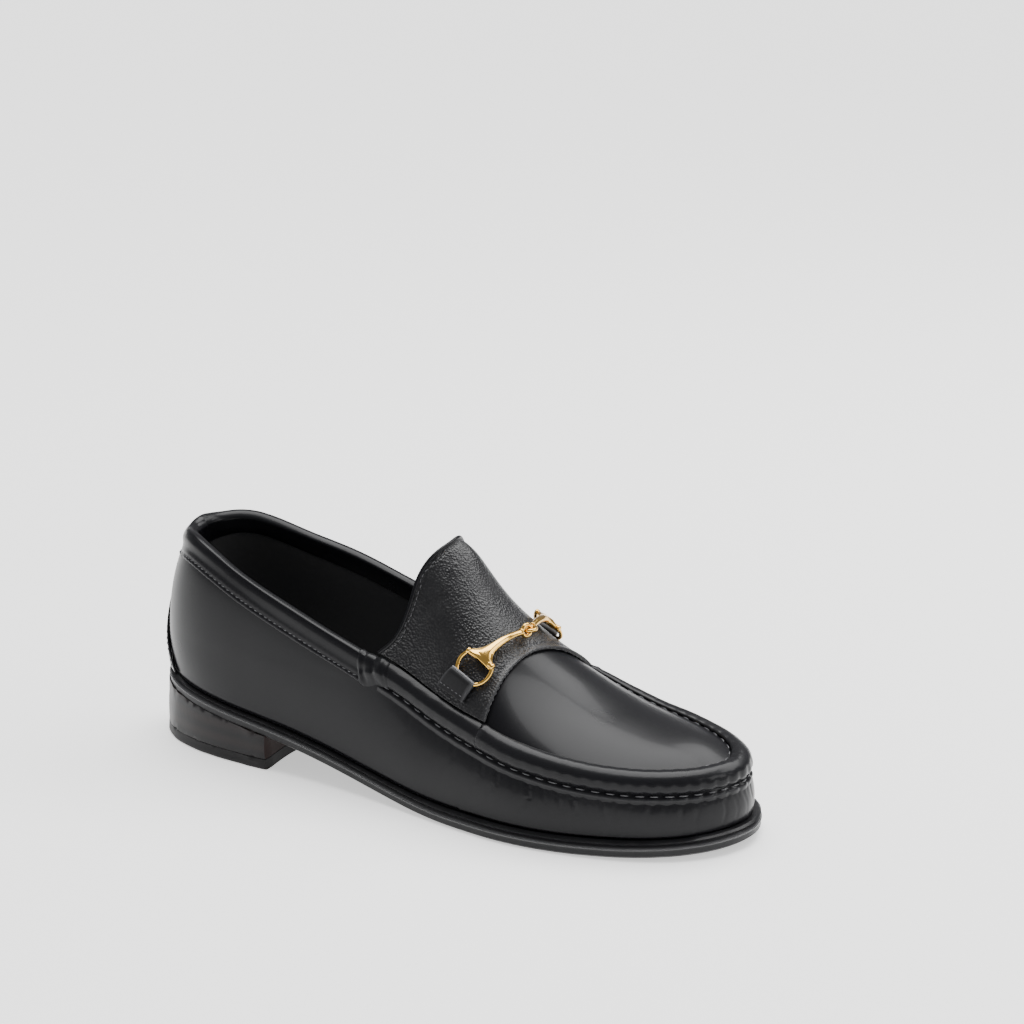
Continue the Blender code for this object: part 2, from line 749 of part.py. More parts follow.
def binding_ring(arc):
    """Section of the folded collar band, over the wall's top edge at one station."""
    near, far = GAP, GAP + BINDING_THICKNESS
    outer, inner = [], []
    for depth in (0.0, BINDING_DEPTH / 2, BINDING_DEPTH):
        point, normal = wall_sample(arc, depth)
        outer.append(point + normal * far)
        inner.append(point + normal * near)
    inside, lining = [], []
    for depth in (0.0, BINDING_INNER_DEPTH):
        point, normal = wall_sample(arc, depth)
        inside.append(point - normal * (WALL + near))
        lining.append(point - normal * (WALL + far))
    point, normal = wall_sample(arc, 0.0)
    up = unit(wall_section(arc)[-1] - wall_section(arc)[-3])
    crest = [point + normal * far * 0.6 + up * BINDING_TOP * 0.8,
             point - normal * WALL / 2 + up * (BINDING_TOP + GAP),
             point - normal * (WALL + far * 0.6) + up * BINDING_TOP * 0.8]
    rest = [point - normal * (WALL + near) + up * GAP, point + normal * near + up * GAP]
    return outer[::-1] + crest + lining + inside[::-1] + rest + inner


def make_binding(look, collection):
    """Folded band round the collar from one throat corner to the other."""
    curve = OUTLINE_CURVE
    first = curve.medial_arc(MEDIAL_CORNER_SHARE) + CORNER_CLEAR - curve.total
    last = curve.lateral_arc(LATERAL_CORNER_SHARE) - CORNER_CLEAR
    rings = [binding_ring(arc) for arc in arcs_between(first, last)]
    points = [point for ring in rings for point in ring]
    add_mesh("collar_binding", points, tube_faces(len(rings), len(rings[0])), look, collection)


def make_back_stay(look, collection):
    """Strip up the back seam, narrow under the collar band and wide at the sole."""
    columns = 2 * STAY_HALF + 1
    layers = [[], []]
    first = BINDING_DEPTH + 2 * GAP
    for row in range(STAY_ROWS):
        t = row / (STAY_ROWS - 1)
        reach = (STAY_TOP_WIDTH + (STAY_FOOT_WIDTH - STAY_TOP_WIDTH) * t**3) / 2
        for step in range(-STAY_HALF, STAY_HALF + 1):
            arc = reach * step / STAY_HALF
            last = run_of(wall_section(arc))[-1] - 2 * GAP
            point, normal = wall_sample(arc, first + (last - first) * t)
            layers[0].append(point + normal * STAY_GAP)
            layers[1].append(point + normal * (STAY_GAP + STAY_THICKNESS))
    add_mesh("back_stay", layers[0] + layers[1], slab_faces(STAY_ROWS, columns), look, collection)


def resting(x, y, lift):
    """Point over the tongue's outer face at a plan spot."""
    return APRON.point(x, y) + APRON.normal(x, y) * (GAP + TONGUE_THICKNESS + lift)


class BitHalf:
    """Places and directions of one half of the bit, on its side of the instep."""

    def __init__(self, side):
        self.side = side
        back = HEAD_BACK_LATERAL if side < 0 else HEAD_BACK_MEDIAL
        self.middle_plan = np.array([x_at(KNUCKLE_SHARE), 0.0])
        self.head_plan = self.middle_plan + np.array([-back, side * HEAD_REACH])
        self.head = resting(*self.head_plan, HEAD_LIFT)
        lean = APRON.normal(*self.head_plan)
        forward = unit(np.cross((0.0, 1.0, 0.0), lean))
        outward = side * np.cross(lean, forward)
        foot_plan = self.head_plan + outward[:2] * (RING_CHORD + RING_RADIUS)
        self.fall = unit(resting(*foot_plan, RING_LIFT) - self.head)
        self.along = unit(forward - self.fall * forward.dot(self.fall))
        self.normal = side * np.cross(self.along, self.fall)
        self.centre = self.head + self.fall * RING_CHORD
        self.foot = self.centre + self.fall * RING_RADIUS

    def bar_path(self):
        """Points from the head over the instep to the eye, and the way it ends."""
        knuckle = resting(*self.middle_plan, KNUCKLE_LIFT)
        path = []
        for t in (0.0, 0.2, 0.4, 0.6):
            plan = self.head_plan * (1 - t) + self.middle_plan * t
            path.append(resting(*plan, HEAD_LIFT * (1 - t) + KNUCKLE_LIFT * t))
        way = unit(knuckle - path[-1])
        path.append(knuckle - way * EYE_RADIUS * 1.5)
        return path, way

    def ring_path(self):
        """Three quarters of a circle closed by a chord through the head."""
        opening = math.acos(RING_CHORD / RING_RADIUS)
        path = []
        for angle in np.linspace(opening, 2 * math.pi - opening, RING_STEPS):
            reach = self.along * math.sin(angle) - self.fall * math.cos(angle)
            path.append(self.centre + reach * RING_RADIUS)
        return path


def place(x_way, y_way, z_way, spot):
    """Matrix with the given ways as its columns and its origin at a spot."""
    matrix = Matrix(np.c_[x_way, y_way, z_way].tolist()).to_4x4()
    matrix.translation = Vector(spot)
    return matrix


def cone_solid(name, ends, radii, flat_way, thinness, look, collection):
    """Cylinder or cone between two points, thinner along the flat way."""
    way = unit(ends[1] - ends[0])
    flat = unit(flat_way - way * way.dot(flat_way))
    wide = np.cross(flat, way)
    shape = bmesh.new()
    bmesh.ops.create_cone(shape, cap_ends=True, segments=ROUND_SIDES, radius1=radii[0],
                          radius2=radii[1], depth=np.linalg.norm(ends[1] - ends[0]),
                          matrix=place(wide, flat * thinness, way, (ends[0] + ends[1]) / 2))
    return add_shape(name, shape, bpy.data.meshes.new(name), look, collection)


def wire_solid(name, path, radius, shares, closed, look, collection):
    """Round wire through a path, its radius taken as shares of the largest."""
    curve = bpy.data.curves.new(name, "CURVE")
    curve.dimensions = "3D"
    curve.bevel_depth = radius
    curve.bevel_resolution = WIRE_RESOLUTION
    curve.use_fill_caps = not closed
    line = curve.splines.new("POLY")
    line.points.add(len(path) - 1)
    for point, spot, share in zip(line.points, path, shares):
        point.co = (*spot, 1.0)
        point.radius = share
    line.use_cyclic_u = closed
    wire = bpy.data.objects.new(name, curve)
    collection.objects.link(wire)
    bpy.context.view_layer.update()
    mesh = bpy.data.meshes.new_from_object(wire)
    bpy.data.objects.remove(wire, do_unlink=True)
    shape = bmesh.new()
    shape.from_mesh(mesh)
    bmesh.ops.remove_doubles(shape, verts=shape.verts[:], dist=WELD)
    bmesh.ops.recalc_face_normals(shape, faces=shape.faces[:])
    return add_shape(name, shape, mesh, look, collection)


def combine(solid, other, operation):
    """Join a helper solid to a part, or cut it away."""
    other.hide_render = True
    other.display_type = "WIRE"
    change = solid.modifiers.new(other.name, "BOOLEAN")
    change.operation = operation
    change.object = other
    change.solver = "EXACT"


def make_bit(look, collection, helpers):
    """Two castings, each a ring, barrel, flared neck, bar and eye, linked at the eyes."""
    for side, name in ((-1, "bit_lateral"), (1, "bit_medial")):
        half = BitHalf(side)
        ring = half.ring_path()
        casting = wire_solid(name, ring, WIRE_RADIUS, [1.0] * len(ring), True, look, collection)
        reach = half.along * BARREL_LENGTH / 2
        barrel = cone_solid(name + "_barrel", (half.head - reach, half.head + reach),
                            (BARREL_RADIUS, BARREL_RADIUS), half.normal, 1.0, look, helpers)
        path, way = half.bar_path()
        neck_end = half.head + unit(path[1] - path[0]) * NECK_LENGTH
        neck = cone_solid(name + "_neck", (half.head, neck_end), (NECK_RADIUS, BAR_RADIUS),
                          half.normal, NECK_THINNESS, look, helpers)
        bar = wire_solid(name + "_bar", path, BAR_RADIUS, [1.0, 1.0, 1.0, 0.95, 0.85], False,
                         look, helpers)
        lift = unit(np.array([0.0, 0.0, 1.0]) - way * way[2])
        second = lift if side < 0 else np.cross(way, lift)
        centre = path[-1] + way * EYE_RADIUS
        bpy.ops.mesh.primitive_torus_add(major_segments=16, minor_segments=8,
                                         major_radius=EYE_RADIUS, minor_radius=WIRE_RADIUS)
        eye = bpy.context.object
        eye.name = name + "_eye"
        eye.matrix_world = place(way, second, np.cross(way, second), centre)
        eye.data.materials.append(look)
        eye.data.shade_smooth()
        for owner in list(eye.users_collection):
            owner.objects.unlink(eye)
        helpers.objects.link(eye)
        for piece in (barrel, neck, bar, eye):
            combine(casting, piece, "UNION")


def reach_to_line(spot, way, line):
    """Distance from a plan spot along a plan direction to a line of plan points."""
    across = (line - spot) @ np.array([-way[1], way[0]])
    ahead = (line - spot) @ way
    order = np.argsort(across)
    return float(np.interp(0.0, across[order], ahead[order]))


def tab_grids(half):
    """Under and upper points of a leather loop, from its fold down to the apron roll."""
    shares = np.linspace(MEDIAL_CORNER_SHARE, SEAM_MEDIAL_SHARE, 25)
    roll_line = np.array([foot_of_roll(half.side, share) for share in shares])
    under, over = [], []
    for step in range(TAB_COLUMNS):
        width = TAB_WIDTH * (step / (TAB_COLUMNS - 1) - 0.5)
        start = (half.foot - half.normal * (GAP + TONGUE_THICKNESS + RING_LIFT)
                 - half.fall * TAB_FOLD + half.along * width)[:2]
        way = unit(half.fall[:2])
        reach = reach_to_line(start, way, roll_line)
        for along, low, high in zip(*TAB_SECTION.columns.values()):
            spot = start + way * reach * along
            under.append(resting(*spot, low))
            over.append(resting(*spot, high))
    return under, over


def make_tabs(look, collection, helpers):
    """Leather loops that hold the rings, each with a round way for the wire."""
    for side, name in ((-1, "tab_lateral"), (1, "tab_medial")):
        half = BitHalf(side)
        under, over = tab_grids(half)
        rows = len(TAB_SECTION.columns["along"])
        tab = add_mesh(name, under + over, slab_faces(TAB_COLUMNS, rows), look, collection)
        ring = half.ring_path()
        way = wire_solid(name + "_wire_way", ring, WIRE_RADIUS + GAP, [1.0] * len(ring), True,
                         look, helpers)
        combine(tab, way, "DIFFERENCE")


def main():
    clear_scene()
    parts = bpy.data.collections.new("bit_loafer")
    helpers = bpy.data.collections.new("helpers")
    bpy.context.scene.collection.children.link(parts)
    bpy.context.scene.collection.children.link(helpers)
    calf = material("black_calf", (0.018, 0.018, 0.021), 0.32)
    grain = material("grained_calf", (0.020, 0.020, 0.022), 0.42)
    lining = material("lining", (0.012, 0.013, 0.012), 0.60)
    sole_edge = material("sole_edge", (0.045, 0.043, 0.046), 0.40)
    stacked = material("stacked_leather", (0.035, 0.032, 0.034), 0.42)
    rubber = material("heel_rubber", (0.030, 0.029, 0.031), 0.55)
    brass = material("gilt_metal", (0.83, 0.60, 0.25), 0.16, 1.0)
    make_outsole(sole_edge, parts)
    make_heel(stacked, rubber, parts)
    make_insole(lining, parts)
    make_upper(calf, parts)
    make_tongue(grain, parts)
    make_rolls(calf, parts)
    make_binding(calf, parts)
    make_back_stay(calf, parts)
    make_bit(brass, parts, helpers)
    make_tabs(calf, parts, helpers)


main()
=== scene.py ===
# %% [markdown]
# # Bit loafer, the looks
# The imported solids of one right-foot loafer are loaded as a fixed frame. Each leather
# piece is then remade finer over its solid: the wall with its toe pleats, the apron,
# the rolled seam, the instep piece and tongue, the collar band and the stay. Stitches,
# the bit and its loops, the sole edge and the finishes follow, and a plain studio last.

import math

import bmesh
import bpy
import numpy as np
from mathutils import Matrix, Vector
from mathutils.bvhtree import BVHTree


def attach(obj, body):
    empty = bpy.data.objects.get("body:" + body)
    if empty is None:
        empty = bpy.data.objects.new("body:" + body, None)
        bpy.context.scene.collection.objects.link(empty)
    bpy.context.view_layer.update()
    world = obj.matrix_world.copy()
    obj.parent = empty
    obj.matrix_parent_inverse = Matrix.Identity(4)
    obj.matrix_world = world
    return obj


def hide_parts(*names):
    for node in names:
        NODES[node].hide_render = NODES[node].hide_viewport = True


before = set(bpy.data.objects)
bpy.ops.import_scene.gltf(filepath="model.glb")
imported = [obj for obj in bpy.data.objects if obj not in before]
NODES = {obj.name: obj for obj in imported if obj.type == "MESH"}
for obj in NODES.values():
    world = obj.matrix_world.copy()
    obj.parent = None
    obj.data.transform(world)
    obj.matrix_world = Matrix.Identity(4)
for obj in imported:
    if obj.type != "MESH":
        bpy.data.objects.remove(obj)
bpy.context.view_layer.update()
bpy.ops.object.select_all(action="DESELECT")
MM = 0.001
MERGE_REACH = 0.02 * MM
rng = np.random.default_rng(7)
print("nodes", len(NODES))

# %% [markdown]
# ## Finer copies of the solids
# A CAD mesh is loose triangles. A copy is merged, its triangles paired into quads, and
# Subdivision Surface rounds it. Edges that should stay crisp get a crease first. This
# keeps every leather piece exactly where its solid is, which a new primitive would not.


# %% Helpers for picking and copying
def select_only(piece):
    bpy.ops.object.select_all(action="DESELECT")
    piece.select_set(True)
    bpy.context.view_layer.objects.active = piece


def link(name, mesh):
    piece = bpy.data.objects.new(name, mesh)
    bpy.context.scene.collection.objects.link(piece)
    return piece


def edit(piece):
    """Open a piece in edit mode with all of it selected."""
    select_only(piece)
    bpy.ops.object.mode_set(mode="EDIT")
    bpy.ops.mesh.select_all(action="SELECT")


def leave_edit():
    bpy.ops.mesh.select_all(action="DESELECT")
    bpy.ops.object.mode_set(mode="OBJECT")


def face_outwards(piece):
    """Turn every face of a closed piece outward."""
    edit(piece)
    bpy.ops.mesh.normals_make_consistent(inside=False)
    leave_edit()


def quad_copy(node, name):
    """A merged copy of a CAD node, its triangles paired into quads."""
    piece = link(name, NODES[node].data.copy())
    piece.data.materials.clear()
    select_only(piece)
    bpy.ops.mesh.customdata_custom_splitnormals_clear()
    edit(piece)
    bpy.ops.mesh.remove_doubles(threshold=MERGE_REACH)
    bpy.ops.mesh.tris_convert_to_quads(face_threshold=math.radians(50),
                                       shape_threshold=math.radians(70))
    leave_edit()
    return piece


print("copies merge points within mm", MERGE_REACH / MM)

# %% [markdown]
# ## Creases, modifiers and points
# Leather is shaped here by rule: its points move out over a cord and in at a stitch. They
# could be dragged by hand in sculpt mode, but a rule repeats evenly along a whole seam.
# Modifiers are applied at once, so that each later step works on real points.


# %% Helpers for creasing and refining
def crease_sharp(piece, degrees, amount):
    """Crease the edges where faces meet at more than an angle."""
    shape = bmesh.new()
    shape.from_mesh(piece.data)
    layer = shape.edges.layers.float.new("crease_edge")
    for edge in shape.edges:
        if len(edge.link_faces) == 2 and math.degrees(edge.calc_face_angle(0.0)) > degrees:
            edge[layer] = amount
    shape.to_mesh(piece.data)
    shape.free()


def modify(piece, kind, **values):
    """Add one modifier to a piece, set it and apply it."""
    select_only(piece)
    change = piece.modifiers.new(kind.lower(), kind)
    for key, value in values.items():
        setattr(change, key, value)
    bpy.ops.object.modifier_apply(modifier=change.name)


def refine(piece, levels):
    modify(piece, "SUBSURF", levels=levels, render_levels=levels)


def points_of(piece):
    flat = np.zeros(len(piece.data.vertices) * 3)
    piece.data.vertices.foreach_get("co", flat)
    return flat.reshape(-1, 3)


def normals_of(piece):
    flat = np.zeros(len(piece.data.vertices) * 3)
    piece.data.vertices.foreach_get("normal", flat)
    return flat.reshape(-1, 3)


def set_points(piece, points):
    piece.data.vertices.foreach_set("co", points.astype(np.float32).ravel())
    piece.data.update()


def tree_of(piece):
    shape = bmesh.new()
    shape.from_mesh(piece.data)
    tree = BVHTree.FromBMesh(shape)
    shape.free()
    return tree


print("helpers for points are ready")

# %% [markdown]
# ## Guide lines
# Stitches and seams run along the borders of the leather pieces. Those borders are read
# from the solids as their sharp edges, walked from corner to corner into lines of points,
# so that every seam follows its piece however the last is shaped.


# %% Borders of the solids
def sharp_lines(node, degrees=50):
    """The sharp edges of a CAD node, walked into lines of points."""
    shape = bmesh.new()
    shape.from_mesh(NODES[node].data)
    bmesh.ops.remove_doubles(shape, verts=shape.verts[:], dist=MERGE_REACH)
    near = {}
    for edge in shape.edges:
        if len(edge.link_faces) == 2 and math.degrees(edge.calc_face_angle(0.0)) > degrees:
            for a, b in (edge.verts, reversed(edge.verts)):
                near.setdefault(a, []).append(b)
    ends = [v for v in near if len(near[v]) != 2] + list(near)
    used, lines = set(), []
    for start in ends:
        for after in near[start]:
            if frozenset((start, after)) in used:
                continue
            path, here, before = [start.co.copy()], after, start
            used.add(frozenset((start, after)))
            while True:
                path.append(here.co.copy())
                ahead = [v for v in near[here]
                         if v != before and frozenset((here, v)) not in used]
                if len(near[here]) != 2 or not ahead:
                    break
                used.add(frozenset((here, ahead[0])))
                before, here = here, ahead[0]
            lines.append(np.array(path))
    shape.free()
    return lines


def length_of(line):
    return float(np.linalg.norm(np.diff(line, axis=0), axis=1).sum())


def long_lines(node, share=0.6):
    lines = sharp_lines(node)
    top = max(length_of(line) for line in lines)
    return [line for line in lines if length_of(line) > share * top]


MIDDLE_HALF = 0.1


def outwardness(line):
    """How far a line lies from the middle line of the shoe in plan."""
    return np.hypot(np.maximum(np.abs(line[:, 0]) - MIDDLE_HALF, 0.0), line[:, 1])


def outer_foot(node):
    """The lower outer border of a roll or band."""
    return max(long_lines(node), key=lambda line: (outwardness(line) - line[:, 2]).mean())


def inner_foot(node):
    """The upper inner border of a roll."""
    return max(long_lines(node), key=lambda line: (line[:, 2] - outwardness(line)).mean())


def toward_toe(line):
    return line if line[0, 0] < line[-1, 0] else line[::-1]


print("borders of the collar band", len(sharp_lines("collar_binding")))

# %% [markdown]
# ## Even lines
# A border read from a solid has uneven points with small corners. Stitches need even
# steps, so each border is drawn again as one smooth curve with points at a fixed step.
# A Blender curve could do it too, but numbers are easier to measure gaps against.


# %% Helpers for even lines
def unit(vector):
    return np.asarray(vector) / np.linalg.norm(vector)


def even_line(line, step):
    """Points along a line at even steps, smoothed through its corners."""
    run = np.concatenate([[0], np.cumsum(np.linalg.norm(np.diff(line, axis=0), axis=1))])
    keep = np.concatenate([[True], np.diff(run) > 1e-7])
    run, line = run[keep], line[keep]
    count = max(int(round(run[-1] / step)), 2)
    at = np.linspace(0, run[-1], count + 1)
    slopes = np.gradient(line, run, axis=0)
    low = np.clip(np.searchsorted(run, at, side="right") - 1, 0, len(run) - 2)
    span = (run[low + 1] - run[low])[:, None]
    t = ((at - run[low]) / span[:, 0])[:, None]
    return (line[low] * (2 * t**3 - 3 * t**2 + 1) + slopes[low] * span * (t**3 - 2 * t**2 + t)
            + line[low + 1] * (3 * t**2 - 2 * t**3) + slopes[low + 1] * span * (t**3 - t**2))


def nearest(points, line):
    """For each point: index of the nearest line point and the distance to it."""
    index = np.zeros(len(points), dtype=int)
    gap = np.zeros(len(points))
    for first in range(0, len(points), 4000):
        block = points[first:first + 4000]
        far = np.linalg.norm(block[:, None, :] - line[None, :, :], axis=2)
        index[first:first + 4000] = far.argmin(axis=1)
        gap[first:first + 4000] = far.min(axis=1)
    return index, gap


def ways_of(line):
    ways = np.gradient(line, axis=0)
    return ways / np.linalg.norm(ways, axis=1)[:, None]


def soften(rows, passes=3):
    for _ in range(passes):
        rows[1:-1] = 0.25 * rows[:-2] + 0.5 * rows[1:-1] + 0.25 * rows[2:]
    return rows


print("a border is softened by averaging each point with its neighbours")

# %% [markdown]
# ## The seam round the apron
# The hand-sewn seam is one line in three lengths: outer side, toe and inner side. They
# are strung together here, because pleats, lip and thread run on through all three. A
# line drawn afresh would need its own points; this one always follows the rolls.

# %% The seam round the apron
ROLLS = ("apron_roll_lateral", "apron_roll_toe", "apron_roll_medial")
LINE_STEP = 0.5 * MM
foot_lateral = toward_toe(outer_foot("apron_roll_lateral"))
foot_medial = toward_toe(outer_foot("apron_roll_medial"))[::-1]
foot_toe = outer_foot("apron_roll_toe")
if foot_toe[0, 1] > foot_toe[-1, 1]:
    foot_toe = foot_toe[::-1]
SEAM_FOOT = even_line(np.vstack([foot_lateral, foot_toe, foot_medial]), LINE_STEP)
SEAM_RUN = np.arange(len(SEAM_FOOT)) * length_of(SEAM_FOOT) / (len(SEAM_FOOT) - 1)
print("seam length mm", round(SEAM_RUN[-1] / MM))

# %% [markdown]
# ## Leather and metal
# Each finish is a procedural shader at its real scale. Smooth calf is a dark film over
# a fine grain, the instep is printed with pebbles about a millimetre across, and scuffed
# edges are a little lighter; crests, folds and rims get a lighter colour as a painted
# highlight. Both read a per-point value stored on the pieces themselves.


# %% Helpers for a finish
def shader(name, colour, roughness, metallic=0.0, coat=0.0, coat_roughness=0.1, specular=0.5):
    """A new material; returns it with its node tree and its main shader."""
    look = bpy.data.materials.new(name)
    look.use_nodes = True
    tree = look.node_tree
    main = tree.nodes["Principled BSDF"]
    main.inputs["Base Color"].default_value = (*colour, 1)
    main.inputs["Roughness"].default_value = roughness
    main.inputs["Metallic"].default_value = metallic
    main.inputs["Coat Weight"].default_value = coat
    main.inputs["Coat Roughness"].default_value = coat_roughness
    main.inputs["Specular IOR Level"].default_value = specular
    return look, tree, main


def add_node(tree, kind, **values):
    """One shader node with its properties and socket values set by name."""
    node = tree.nodes.new(kind)
    for key, value in values.items():
        if hasattr(node, key):
            setattr(node, key, value)
        else:
            node.inputs[key.replace("_", " ")].default_value = value
    return node


def object_place(tree):
    return add_node(tree, "ShaderNodeTexCoord").outputs["Object"]


print("a finish starts from one main shader")

# %% [markdown]
# ## Grain, pebbles, scuffs and painted highlights
# Grain is a height pattern that only tilts the light; scuffs and painted highlights are a
# value stored on the leather's own points. Both could be painted into an image, but noise
# and cells stay sharp up close and keep their real size, because they are laid out in
# metres on the piece itself.


# %% Helpers for grain, scuffs and painted highlights
def noise(tree, scale, detail=3.0):
    node = add_node(tree, "ShaderNodeTexNoise", Scale=scale, Detail=detail)
    tree.links.new(object_place(tree), node.inputs["Vector"])
    return node.outputs["Fac"]


def cells(tree, scale):
    node = add_node(tree, "ShaderNodeTexVoronoi", Scale=scale, feature="SMOOTH_F1",
                    Smoothness=0.35)
    tree.links.new(object_place(tree), node.inputs["Vector"])
    return node.outputs["Distance"]


def bump(tree, main, height, strength, depth, under=None):
    node = add_node(tree, "ShaderNodeBump", Strength=strength, Distance=depth)
    tree.links.new(height, node.inputs["Height"])
    if under is not None:
        tree.links.new(under, node.inputs["Normal"])
    tree.links.new(node.outputs["Normal"], main.inputs["Normal"])
    return node.outputs["Normal"]


def spread_to(tree, value, socket, low, high, first=0.35, last=0.65):
    """Drive a shader value from a texture, between two amounts."""
    node = add_node(tree, "ShaderNodeMapRange")
    for key, amount in (("From Min", first), ("From Max", last), ("To Min", low), ("To Max", high)):
        node.inputs[key].default_value = amount
    tree.links.new(value, node.inputs["Value"])
    tree.links.new(node.outputs["Result"], socket)


def mix_scuff_and_highlight(tree, main, colour, scuff_and_highlight_colour):
    """Mix toward a lighter colour where a piece's stored value says so: scuffed edges, and painted
    highlights on crests, folds and rims.
    """
    mix = add_node(tree, "ShaderNodeMix", data_type="RGBA")
    mix.inputs["A"].default_value = (*colour, 1)
    mix.inputs["B"].default_value = (*scuff_and_highlight_colour, 1)
    stored = add_node(tree, "ShaderNodeAttribute", attribute_name="rub")
    tree.links.new(stored.outputs["Fac"], mix.inputs["Factor"])
    tree.links.new(mix.outputs["Result"], main.inputs["Base Color"])


print("grain is given in cycles per metre")

# %% [markdown]
# ## Leathers of the upper
# Polished calf is nearly black under a thin clear shine: a dark base, a weak coat and a
# very fine grain. The instep is printed with round pebbles, the loops and the lining are
# left matte. One finish for all would be quicker, but the pieces differ at a glance.

# %% Leathers of the upper
BLACK = (0.005, 0.005, 0.0062)
calf, tree, main = shader("smooth black calf", BLACK, 0.3, coat=0.085, coat_roughness=0.1,
                          specular=0.16)
# Lighter calf: scuffs on the edges of the collar, the stay and the roll joints, and a painted
# highlight along the lip and over the top of the rolls.
mix_scuff_and_highlight(tree, main, BLACK, (0.03, 0.03, 0.032))
spread_to(tree, noise(tree, 30.0, 1.0), main.inputs["Roughness"], 0.26, 0.36, 0.2, 0.8)
fine = bump(tree, main, noise(tree, 1000.0, 2.0), 0.1, 0.1 * MM)
bump(tree, main, noise(tree, 90.0, 1.0), 0.04, 0.4 * MM, fine)

PEBBLED = (0.006, 0.006, 0.0068)
instep_calf, tree, main = shader("pebbled black calf", PEBBLED, 0.3, coat=0.1,
                                 coat_roughness=0.22, specular=0.45)
mix_scuff_and_highlight(tree, main, PEBBLED, (0.035, 0.035, 0.037))
spread_to(tree, noise(tree, 90.0), main.inputs["Roughness"], 0.3, 0.42)
pebbles = bump(tree, main, cells(tree, 980.0), 0.8, 0.35 * MM)
bump(tree, main, noise(tree, 1500.0), 0.12, 0.1 * MM, pebbles)

loop_calf, tree, main = shader("matte loop leather", (0.009, 0.009, 0.0098), 0.5, specular=0.15)
# The loop's lighter colour is scuffing on its cut sides and a painted highlight along its fold.
mix_scuff_and_highlight(tree, main, (0.011, 0.011, 0.012), (0.16, 0.16, 0.165))
bump(tree, main, noise(tree, 1800.0), 0.2, 0.1 * MM)

# Light grey for a cord along each loop's fold: a painted highlight.
fold_highlight_look, tree, main = shader("cut leather edge", (0.2, 0.2, 0.21), 0.4)

# The lining is lighter than black leather, standing in for light that hardly reaches inside the
# shoe: painted light.
lining, tree, main = shader("black lining leather", (0.05, 0.05, 0.051), 0.6)
bump(tree, main, noise(tree, 900.0, 4.0), 0.25, 0.15 * MM)
print("materials so far", len(bpy.data.materials))

# %% [markdown]
# ## Sole, heel, metal and thread
# The sole edge and the heel are leather stained with ink, with faint layers that a wave
# pattern gives. The bit is gilt: a full metal with a slightly uneven roughness, because
# one even value makes plated metal look like plastic.

# %% Sole, heel, metal and thread
SOLE_BLACK = (0.011, 0.011, 0.012)
sole_look, tree, main = shader("inked sole edge", SOLE_BLACK, 0.36, coat=0.04, specular=0.2)
# The lighter colour is a painted highlight along the top rim, and painted light on the sides.
mix_scuff_and_highlight(tree, main, SOLE_BLACK, (0.07, 0.07, 0.072))
spread_to(tree, noise(tree, 150.0), main.inputs["Roughness"], 0.32, 0.46)
bump(tree, main, noise(tree, 700.0), 0.14, 0.2 * MM)

# The bead's grey base, lighter than the inked sole, is a painted highlight; its coat is the
# burnished shine.
bead_highlight_look, tree, main = shader("burnished bead", (0.05, 0.05, 0.052), 0.26, coat=0.3)

stack_look, tree, main = shader("inked heel stack", (0.01, 0.009, 0.0085), 0.38, coat=0.04,
                                specular=0.2)
bands = add_node(tree, "ShaderNodeTexWave", wave_type="BANDS", bands_direction="Z", Scale=46.0,
                 Distortion=1.2, Detail=2.0, Detail_Scale=30.0)
tree.links.new(object_place(tree), bands.inputs["Vector"])
ramp = add_node(tree, "ShaderNodeValToRGB")
ramp.color_ramp.elements[0].color = (0.010, 0.0095, 0.0102, 1)
ramp.color_ramp.elements[1].color = (0.016, 0.0125, 0.0125, 1)
tree.links.new(bands.outputs["Fac"], ramp.inputs["Fac"])
tree.links.new(ramp.outputs["Color"], main.inputs["Base Color"])
bump(tree, main, noise(tree, 500.0), 0.14, 0.2 * MM)

breast_look, tree, main = shader("heel breast", (0.017, 0.006, 0.005), 0.5, specular=0.15)
bump(tree, main, noise(tree, 500.0), 0.2, 0.2 * MM)

rubber_look, tree, main = shader("heel rubber", (0.011, 0.0105, 0.011), 0.5, specular=0.2)
bump(tree, main, noise(tree, 1200.0), 0.2, 0.2 * MM)

gilt, tree, main = shader("polished gilt", (0.83, 0.5, 0.12), 0.1, metallic=1.0)
spread_to(tree, noise(tree, 400.0), main.inputs["Roughness"], 0.08, 0.17)
bump(tree, main, noise(tree, 300.0, 2.0), 0.03, 0.1 * MM)

# The thread's grey base is lighter than black thread: partly a painted highlight on the stitches.
thread, tree, main = shader("waxed black thread", (0.06, 0.06, 0.065), 0.4, coat=0.2)
print("materials so far", len(bpy.data.materials))

# %% [markdown]
# ## Refining a leather piece
# Solid copies are subdivided twice: the first pass shows how far Subdivision Surface
# pulls each corner in, the second starts from corners pushed out by as much. The finer
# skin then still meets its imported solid, so gaps between pieces stay as they were cut.


# %% Helpers for leather pieces
HOLD = 0.85
HEEL_MIDDLE, TOE_MIDDLE, AXIS_HEIGHT = -0.11, 0.10, 0.03


def refine_true(piece, levels):
    """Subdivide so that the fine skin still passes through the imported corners."""
    corners = points_of(piece)
    trial = link("trial", piece.data.copy())
    refine(trial, levels)
    pulled = points_of(trial)[:len(corners)]
    bpy.data.objects.remove(trial)
    set_points(piece, corners + HOLD * (corners - pulled))
    refine(piece, levels)


def refined(node, name, crease_degrees, crease, levels):
    """A finer copy of a solid, with its sharp edges held by a crease."""
    piece = quad_copy(node, name)
    crease_sharp(piece, crease_degrees, crease)
    refine_true(piece, levels)
    return piece


